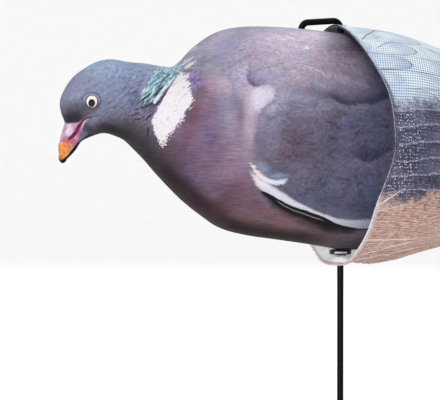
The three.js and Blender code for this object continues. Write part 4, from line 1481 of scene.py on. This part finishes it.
def neck_markings(f, n, colour):
    """The white patch with its ragged edge, the pale strip in front of it, the painted shade in the
    neck's folds, and the wrinkles of the bill's skin. Gives the colour and the height that they add."""
    ragged = f.times(n.fringe, f.field("ragged"), 11)
    white_edge = f.plus(f.field("white_mm"), f.plus(ragged, f.times(n.mottle, 0.6)))
    white = f.step(white_edge, -0.25, 0.35)
    snow = f.blend(f.step(n.slanting, -0.06, -0.2), tone(228, 222, 227), tone(196, 189, 204))
    colour = f.blend(white, colour, snow)
    strip = f.step(f.plus(f.field("strip_mm"), f.times(n.fringe, 2.2)), -0.25, 0.25)
    colour = f.blend(f.times(strip, 0.92), colour, tone(218, 226, 240))
    # Painted shade in the neck's folds
    fold_shade = f.step(f.plus(f.field("fold_shade_mm"), f.times(n.fringe, 1.2)), -0.35, 0.2)
    colour = f.blend(f.times(fold_shade, 0.9), colour, tone(26, 28, 44))
    wrinkles = f.streaks(
        f.wavy(f.place, size=4, by=1), rise=-14, long=3.2, wide=0.4, detail=2.0, shift=3, deep=2)
    wrinkles = f.times(f.step(wrinkles, 0.04, 0.16), f.times(n.bare, 0.45))
    colour = f.tinted(wrinkles, colour, (0.62, 0.56, 0.62))
    fringe = f.times(f.step(white_edge, -0.4, 0.4), f.times(n.fringe, 0.15))
    return colour, f.minus(f.plus(f.times(white, 0.08), fringe), f.times(fold_shade, 0.2))


def shoulder_down(f, colour):
    """The shoulder's pale down over its sharp edge, with a painted highlight down its ridge, and hairs
    that show most where it is thin
    """
    light = f.field("shoulder_light")
    hairs = f.streaks(f.wavy(f.place, size=7, by=2), rise=48, long=5, wide=0.5, shift=5)
    place = f.plus(f.field("shoulder_mm"), f.times(hairs, f.minus(11, f.times(light, 8.5))))
    down = f.blend(f.step(light, 0.5, 0.9), tone(210, 193, 205), tone(211, 204, 221))
    down = f.lit(down, f.times(hairs, f.minus(1.7, f.times(light, 1.1))))
    return f.blend(f.times(f.step(place, -0.5, 0.8), light), colour, down)


def wing_edge(f, n, colour):
    """The wing's pale lower edge with its split and its crescent, and the painted shadow in the gap
    below it with a thin painted highlight in it"""
    edge_width, gap_width, front = (
        f.field(name) for name in ("edge_width_mm", "gap_width_mm", "edge_front"))
    edge = f.plus(
        f.field("edge_mm"), f.times(f.noise(f.place, size=3.5, detail=3.0), 0.6),
        f.times(f.plus(f.times(n.level, 2), f.times(n.fine, 3)), front))
    hairs = f.streaks(f.wavy(f.place, size=9, by=2), rise=-30, long=8, wide=0.6, shift=5)
    loose = f.times(front, 0.9)
    in_edge = f.times(
        f.step(edge, f.minus(-0.25, loose), f.plus(0.3, loose)),
        f.step(f.minus(edge_width, f.plus(edge, f.times(hairs, 2.2))), -0.9, 1.1))
    upper_half = f.step(f.minus(f.times(edge, 2.0), edge_width), -0.6, 0.6)
    pale = f.blend(upper_half, tone(224, 225, 238), tone(236, 230, 240))
    pale = f.blend(f.step(hairs, -0.05, -0.25), pale, tone(176, 172, 192))
    pale = f.blend(f.times(f.field("edge_rear"), 0.6), pale, tone(176, 182, 208))
    pale = f.blend(f.times(front, 0.6), pale, tone(236, 214, 210))
    colour = f.blend(f.times(in_edge, 0.95), colour, pale)
    split = f.step(f.plus(f.field("split_mm"), f.times(hairs, 1.2)), -0.4, 0.3)
    colour = f.blend(f.times(split, 0.4), colour, tone(170, 150, 166))

    crescent = f.plus(f.field("crescent_mm"), f.times(hairs, 2), f.times(n.level, front, 4))
    pale = f.blend(f.step(crescent, 0.3, 1.3), tone(214, 218, 232), tone(232, 234, 244))
    pale = f.blend(f.times(front, 0.75), pale, tone(236, 214, 212))
    colour = f.blend(f.step(crescent, -0.9, 0.6), colour, pale)

    # Painted shadow in the gap below the wing's edge, and a thin painted highlight in it
    below = f.times(edge, -1.0)
    in_gap = f.times(
        f.step(below, -0.05, 0.3), f.step(f.minus(gap_width, below), -1.9, 0.9),
        f.step(gap_width, 0.3, 1.2))
    colour = f.blend(f.times(in_gap, 0.96), colour, tone(14, 13, 18))
    from_line = f.math("ABSOLUTE", f.minus(below, f.times(gap_width, 0.44)))
    thin_line = f.times(f.step(from_line, 0.42, 0.12), f.field("glint"))
    return f.blend(f.times(thin_line, 0.6), colour, tone(170, 164, 168))


def from_eye(f):
    """How far behind and above the middle of the eye each place is, in millimetres"""
    x, _, z = f.parts(f.place)[:3]
    return f.minus(x, EYE[0] * HUNDREDTH), f.minus(z, BODY_MIDDLE + EYE[1] * HUNDREDTH)


def eye_socket(f, n, colour):
    """The lids, the dark rim at the eye's own edge, and the fold round the lids"""
    behind, above = from_eye(f)
    away = f.away(behind, above)
    uneven = f.plus(away, f.times(n.mottle, 0.9))
    lid = f.times(f.step(uneven, 5.0, 4.3), f.step(uneven, 3.2, 3.6))
    lid_tone = f.blend(f.step(above, -2.0, 1.5), tone(84, 62, 62), tone(158, 152, 170))
    colour = f.blend(f.times(lid, 0.7), colour, lid_tone)
    colour = f.blend(f.times(f.step(away, 4.0, 3.7), 0.9), colour, tone(34, 28, 32))
    fold = f.times(f.step(uneven, 6.0, 5.4), f.step(uneven, 4.6, 5.2))
    return f.blend(f.times(fold, 0.55), colour, tone(66, 66, 86))


def plumage_finish():
    """Airbrushed and printed plumage, with more shine on the bill and the teal, and painted shade in a
    pressed dent where the stake's peg goes into the back"""
    f = Finish("painted_plumage", Specular_IOR_Level=0.08)
    n = plumage_noises(f)
    shade = feather_shade(f, n)
    colour = feather_colour(f, n, shade)
    colour = neck_gloss(f, n, colour)
    colour, raised = neck_markings(f, n, colour)
    colour = shoulder_down(f, colour)
    colour = wing_edge(f, n, colour)
    colour = eye_socket(f, n, colour)
    x, y, z = f.parts(f.place)[:3]
    from_peg = f.away(f.plus(x, HOOK_SPAN), y)
    pressed = f.times(f.step(from_peg, 3.4, 2.3), f.step(z, BODY_MIDDLE, BODY_MIDDLE + 20))
    # Painted shade in the dent round the peg
    colour = f.blend(f.times(pressed, 0.75), colour, tone(60, 54, 64))
    gloss = f.plus(f.times(n.bare, -0.16), f.times(f.field("teal"), -0.12))
    roughness = f.plus(0.64, gloss, f.times(n.mottle, 0.25))
    height = f.minus(f.plus(f.times(shade, 0.14), raised), f.times(pressed, 0.5))
    return f.finished(colour, roughness, height)


def eye_finish():
    """A painted and varnished eye: cream iris, a dark rim, and a pupil low in it"""
    f = Finish("varnished_eye", Specular_IOR_Level=0.2, Coat_Weight=0.25, Coat_Roughness=0.06)
    behind, above = from_eye(f)
    pupil = f.away(
        f.times(f.plus(behind, PUPIL_AHEAD), 1 / PUPIL_HALF_WIDTH),
        f.times(f.plus(above, PUPIL_BELOW), 1 / PUPIL_HALF_HEIGHT))
    flecks = f.noise(f.place, size=0.8, detail=3.0)
    iris = f.blend(f.step(flecks, -0.05, 0.2), tone(250, 238, 232), tone(232, 216, 208))
    iris = f.blend(f.step(above, -2.2, -3.4), iris, tone(222, 202, 186))
    colour = f.blend(f.step(pupil, 1.08, 0.94), iris, tone(14, 16, 6))
    colour = f.blend(f.step(f.away(behind, above), 3.3, 3.6), colour, tone(52, 42, 42))
    return f.finished(colour, 0.3, f.times(flecks, 0.02))


def cloth_weave(f):
    """The open weave of the sleeve: rows of lumps round the cloth, each row half a lump aside of the
    one before. 1 on a lump and -1 between them."""
    across = f.times(f.field("from_top_mm"), 2 * math.pi / WEAVE_ROUND)
    along = f.times(f.field("behind_mm"), 2 * math.pi / WEAVE_ALONG)
    along = f.plus(along, f.times(across, 0.5))
    return f.times(f.plus(f.math("SINE", across), f.math("SINE", along)), 0.5)


def drawn_lines(f, way, behind, rows):
    """How far lines cover the cloth that run back from its mouth. Each row is the way round at
    which a line starts, how far it shifts for each millimetre back, where it starts and ends behind
    the mouth, its half width and its strength."""
    cover = 0.0
    for start, shift, first, last, half, strength in rows:
        off = f.math("ABSOLUTE", f.minus(f.minus(way, start), f.times(behind, shift)))
        off = f.times(off, 1 / math.hypot(1, shift))
        line = f.times(f.step(off, half + 0.25, half - 0.25), strength)
        ends = f.times(f.step(behind, first - 1, first + 1), f.step(behind, last + 6, last - 6))
        cover = f.most(cover, f.times(line, ends))
    return cover


def cloth_noises(f):
    """The ways over the cloth, and the noises that several parts of its print read"""
    c = SimpleNamespace(
        from_top=f.field("from_top_mm"), from_bottom=f.field("from_bottom_mm"),
        behind=f.field("behind_mm"), level=f.field("level"))
    c.weave = cloth_weave(f)
    c.dots = f.step(c.weave, 0.2, 0.7)
    c.wander = f.noise(f.place, size=16, detail=3.0)
    c.small = f.noise(f.place, size=3, detail=3.0)
    c.speckle = f.noise(f.place, size=0.95, detail=1.5)
    c.fibres = f.streaks(f.wavy(f.place, size=12, by=3), rise=4, long=4.5, wide=0.8, detail=3.0)
    c.height = f.plus(c.level, f.plus(f.times(c.wander, 0.35), f.times(c.small, 0.25)))
    return c


def pale_print(f, c):
    """The pale back: light blue, with navy dots on the weave's lumps, more of them lower down"""
    pale = f.blend(f.step(c.wander, -0.15, 0.2), tone(234, 248, 255), tone(206, 224, 250))
    share = f.plus(0.45, f.times(f.step(c.level, 0.95, 0.65), 0.55), f.times(c.small, 1.4))
    return f.blend(f.times(c.dots, share), pale, tone(36, 48, 100))


def slate_print(f, c):
    """The slate sides: long quills, each dark over its upper part and pale at its lower edge, with
    pale specks that are thickest near the mouth"""
    slate = f.blend(f.step(c.wander, -0.15, 0.2), tone(58, 58, 84), tone(92, 90, 118))
    shift = f.plus(f.times(c.behind, 1 / QUILL_RUN), f.times(c.wander, 0.5))
    quill = f.math("FRACT", f.plus(f.times(c.from_top, 1 / QUILL_WIDTH), shift))
    slate = f.blend(f.times(f.step(quill, 0.75, 0.15), 0.5), slate, tone(38, 38, 58))
    edge = f.times(f.step(quill, 0.84, 0.92), f.plus(0.5, f.times(c.speckle, 2.5)))
    slate = f.blend(edge, slate, tone(166, 164, 190))
    specks = f.step(f.plus(c.speckle, f.times(c.weave, 0.1)), 0.09, 0.2)
    specks = f.times(specks, f.plus(0.3, f.step(c.behind, 26, 8)))
    return f.blend(specks, slate, tone(206, 204, 226))


def tan_print(f, c):
    """The tan underside: short fibres, darker towards the lowest line, with pale dots and flecks"""
    tan = f.blend(f.step(c.fibres, -0.18, 0.1), tone(146, 102, 86), tone(204, 166, 150))
    tan = f.tinted(f.step(c.from_bottom, 44, 16), tan, (0.8, 0.7, 0.64))
    tan = f.blend(f.times(c.dots, f.plus(0.4, f.times(c.speckle, 2.5))), tan, tone(240, 218, 210))
    flecks = f.step(f.plus(c.speckle, f.times(c.fibres, 0.6)), 0.08, 0.24)
    return f.blend(f.times(flecks, 0.5), tan, tone(246, 228, 220))


def vane_print(f, c):
    """How far the dark edges of the printed feathers cover the cloth, and how far their soft shade
    does. The feathers lie in rows, each row shifted forwards against the one above it, and their
    rounded ends bow with the square of the way from a feather's middle."""
    row = f.plus(
        f.times(c.from_top, 1 / VANE_WIDTH), f.times(f.noise(f.place, size=40, detail=1.0), 0.5))
    row = f.minus(row, VANE_START)
    across = f.minus(f.math("FRACT", row), 0.5)
    shift = f.plus(f.times(f.math("FLOOR", row), VANE_SHIFT), f.times(across, across, 1.6))
    along = f.math("FRACT", f.plus(f.times(c.behind, 1 / VANE_LENGTH), shift))
    side = f.times(f.step(f.math("ABSOLUTE", across), 0.45, 0.48), f.step(along, 0.4, 0.9))
    line = f.times(f.most(side, f.step(along, 0.035, 0.02)), f.step(c.behind, 12, 24))
    line = f.most(line, drawn_lines(f, c.from_top, c.behind, PRINT_LINES))
    above = f.step(c.height, -0.3, -0.1)
    return f.times(line, above), f.times(f.step(along, 0.45, 1.0), 0.25, above)


def crease_highlights(f, c):
    """How far pale lines cover the underside, painted highlights on the crests of its folds and on the
    drawn creases
    """
    crest = f.times(f.field("crest"), f.step(c.height, -0.3, -0.45))
    crest = f.times(crest, f.plus(0.7, f.times(c.speckle, 2.0)), 0.5)
    wandering = f.plus(c.from_bottom, f.times(c.small, 1.2))
    drawn = drawn_lines(f, wandering, c.behind, CREASE_LINES)
    return f.most(crest, f.times(drawn, f.plus(0.9, f.times(c.speckle, 1.5))))


def printed_cloth_finish():
    """Printed cloth: a pale back with dark feather edges, slate sides, a tan underside with painted
    highlights on its creases, and a pale tail with a dark band, all broken up by the weave, with a
    seam along its lowest line"""
    f = Finish("printed_cloth", Sheen_Weight=0.15, Sheen_Roughness=0.5, Specular_IOR_Level=0.15)
    c = cloth_noises(f)
    colour = f.blend(f.step(c.height, *PALE_FROM), slate_print(f, c), pale_print(f, c))
    colour = f.blend(f.step(c.height, *TAN_FROM), colour, tan_print(f, c))
    vane_line, vane_shade = vane_print(f, c)
    colour = f.blend(vane_shade, colour, tone(112, 124, 158))
    colour = f.blend(f.times(vane_line, 0.85), colour, tone(40, 44, 74))
    # Painted highlights on the underside's creases
    colour = f.blend(crease_highlights(f, c), colour, tone(252, 240, 236))

    tail_place = f.plus(f.field("share"), f.times(c.small, 0.012))
    tail_grey = f.blend(f.step(c.fibres, -0.12, 0.12), tone(150, 154, 176), tone(186, 190, 208))
    colour = f.blend(f.step(tail_place, *TAIL_GREY_FROM), colour, tail_grey)
    colour = f.blend(f.times(f.step(tail_place, *TAIL_BAND_FROM), 0.9), colour, tone(52, 50, 64))
    tail_line = f.times(vane_line, 0.5, f.step(tail_place, 0.6, 0.7))
    colour = f.blend(tail_line, colour, tone(40, 40, 54))

    stitched = f.blend(f.step(c.level, -0.5, -0.4), tone(214, 200, 204), tone(70, 68, 98))
    stitched = f.blend(f.step(c.level, 0.55, 0.7), stitched, tone(176, 186, 226))
    colour = f.blend(f.times(f.step(c.behind, 2.6, 1.9), 0.55), colour, stitched)
    seam = f.step(f.minus(c.level, -1.0), 0.00025, 0.0)
    colour = f.blend(f.times(seam, 0.5), colour, tone(110, 92, 90))
    height = f.plus(f.times(c.weave, 0.05), f.times(c.small, 0.12))
    return f.finished(colour, 0.85, f.minus(height, f.times(seam, 0.2)))


def cloth_reverse_finish():
    """The unprinted reverse: white cloth with its weave, a little of the print showing through, and
    nearly black painted shade over the inside of its upper part
    """
    f = Finish(
        "white_reverse", Sheen_Weight=0.2, Sheen_Roughness=0.5, Specular_IOR_Level=0.2,
        Subsurface_Weight=1.0, Subsurface_Radius=(1, 1, 1), Subsurface_Scale=0.003)
    weave = cloth_weave(f)
    through_print = f.noise(f.place, 9, 3.0)
    colour = f.blend(f.step(through_print, -0.1, 0.2), (0.97, 0.97, 0.98, 1), (0.9, 0.91, 0.95, 1))
    colour = f.blend(f.times(f.step(weave, 0.1, 0.7), 0.3), colour, (0.5, 0.58, 0.78, 1))
    # Painted shade, nearly black, inside the sleeve's upper part
    colour = f.blend(f.step(f.field("level"), 0.3, 0.8), colour, (0.03, 0.02, 0.02, 1))
    return f.finished(colour, 0.88, f.times(weave, 0.05))


def thread_finish():
    """Spun sewing thread: pinkish at the mouth's lowest place, white and lilac above it, navy on its
    sides, and pale blue at the top with painted shade in navy where it turns over the cloth's edge.
    Its plies are fine slanting ridges."""
    f = Finish("sewing_thread", Sheen_Weight=0.3, Specular_IOR_Level=0.3)
    patches = f.noise(f.place, 2.2, 2.0)
    height = f.plus(f.parts(f.place)[2], f.times(patches, 12))
    low = f.blend(f.step(patches, 0.04, 0.16), tone(252, 246, 250), tone(190, 178, 204))
    side = f.blend(f.step(patches, -0.12, 0.0), tone(126, 132, 166), tone(40, 40, 66))
    high = f.blend(f.step(patches, 0.06, 0.14), tone(200, 212, 242), tone(96, 104, 150))
    # Painted shade in navy where the top's thread turns over the cloth's edge
    high = f.blend(f.step(f.field("at_edge"), 0.2, 0.7), high, tone(34, 38, 72))
    low = f.blend(f.step(height, *THREAD_LOWEST), low, tone(226, 192, 186))
    colour = f.blend(f.step(height, *THREAD_SIDE), low, side)
    colour = f.blend(f.step(height, *THREAD_TOP), colour, high)
    plies = f.streaks(f.place, 35, 2, 0.18)
    colour = f.lit(colour, f.times(plies, 0.5))
    return f.finished(colour, 0.8, f.times(plies, 0.08))


def stake_finish():
    """Black powder coating on steel: fine orange peel, a little dust, and scuffs along the rod"""
    f = Finish("black_powder_coat", Specular_IOR_Level=0.06)
    peel = f.noise(f.place, 0.5, 2.0)
    scuffs = f.add("ShaderNodeMapping", {"Vector": f.place, "Scale": (2.0, 2.0, 0.12)}).outputs[0]
    scuffs = f.noise(scuffs, 1.0, 4.0, 0.6)
    dust = f.noise(f.place, 6, 3.0)
    colour = f.blend(f.step(scuffs, 0.12, 0.3), tone(9, 8, 8), tone(32, 29, 28))
    colour = f.blend(f.times(f.step(dust, 0.05, 0.25), 0.12), colour, tone(48, 45, 43))
    roughness = f.plus(0.32, f.times(scuffs, 0.35))
    return f.finished(colour, roughness, f.plus(f.times(peel, 0.05), f.times(scuffs, -0.03)))


def washer_finish():
    """Moulded black rubber: a soft shine, a fine grain, a bloom of grey dust, and a pale band of
    painted highlight on two opposite sides of the rim"""
    f = Finish("moulded_rubber", Specular_IOR_Level=0.3)
    grain = f.noise(f.place, 0.35, 2.0)
    bloom = f.noise(f.place, 2.5, 3.0)
    colour = f.blend(f.step(bloom, -0.05, 0.2), tone(14, 14, 15), tone(36, 35, 35))
    x, y, z = f.parts(f.place)[:3]
    up = f.minus(z, (WASHER_TOP + WASHER_BOTTOM) / 2)
    aside = f.plus(f.times(x, 0.44 / WASHER_RADIUS), f.times(y, 0.9 / WASHER_RADIUS))
    # A painted highlight band on the rim, on two opposite sides
    at_side = f.step(f.math("ABSOLUTE", aside), 0.78, 0.84)
    highlight_band = f.times(f.step(f.math("ABSOLUTE", f.plus(up, 0.2)), 0.62, 0.4), at_side)
    colour = f.blend(f.times(highlight_band, f.plus(0.9, bloom)), colour, tone(226, 220, 220))
    return f.finished(colour, f.plus(0.42, f.times(bloom, 0.4)), f.times(grain, 0.04))


# Studio

def make_studio():
    """A pale floor that curves up all round: its outline turned about the stake's axis"""
    floor = np.column_stack([np.linspace(0.001, 1, 12) * STUDIO_RADIUS, np.zeros(12)])
    outline = np.vstack([floor, arc(STUDIO_RADIUS, STUDIO_CURVE, STUDIO_CURVE, -90, 0, 24)[1:]])
    rings = turned(outline, np.linspace(0, -2 * np.pi, STUDIO_POINTS, endpoint=False))
    f = Finish("pale_floor", Specular_IOR_Level=0.1)
    paper = f.noise(f.place, size=40, detail=3.0)
    white = f.blend(f.step(paper, -0.3, 0.3), (0.93, 0.93, 0.93, 1), (0.91, 0.91, 0.915, 1))
    faces = grid_faces(*rings.shape[:2]).tolist()
    finish = f.finished(white, 0.9, 0.0)
    make_mesh("studio_floor", rings.reshape(-1, 3), faces, finish)


def light_studio():
    """Even white light all round, with large square lamps that face the middle of the bird"""
    world = bpy.data.worlds.new("studio_light")
    world.use_nodes = True
    background = world.node_tree.nodes["Background"].inputs
    background["Color"].default_value = (1, 1, 1, 1)
    background["Strength"].default_value = WORLD_LIGHT
    bpy.context.scene.world = world
    for name, place, size, power in LAMPS:
        lamp = bpy.data.lights.new(name, "AREA")
        lamp.size = size
        lamp.energy = power
        back = unit(np.array(place) - VIEW_TARGET * MM)
        aim(new_object(name, lamp), place, unit(np.cross([0, 0, 1], back)), back)
    bpy.context.scene.view_settings.view_transform = "Standard"
    bpy.context.scene.view_settings.look = "None"


# The object

make_camera()
make_bird(plumage_finish())
make_eyes(eye_finish())
make_stake(stake_finish())
make_washer(washer_finish())
sleeve = make_sleeve(printed_cloth_finish(), cloth_reverse_finish())
thread = thread_finish()
stitching = [make_hem(thread), make_eyelets(thread), make_tail_stitches(thread)]
make_studio()
light_studio()
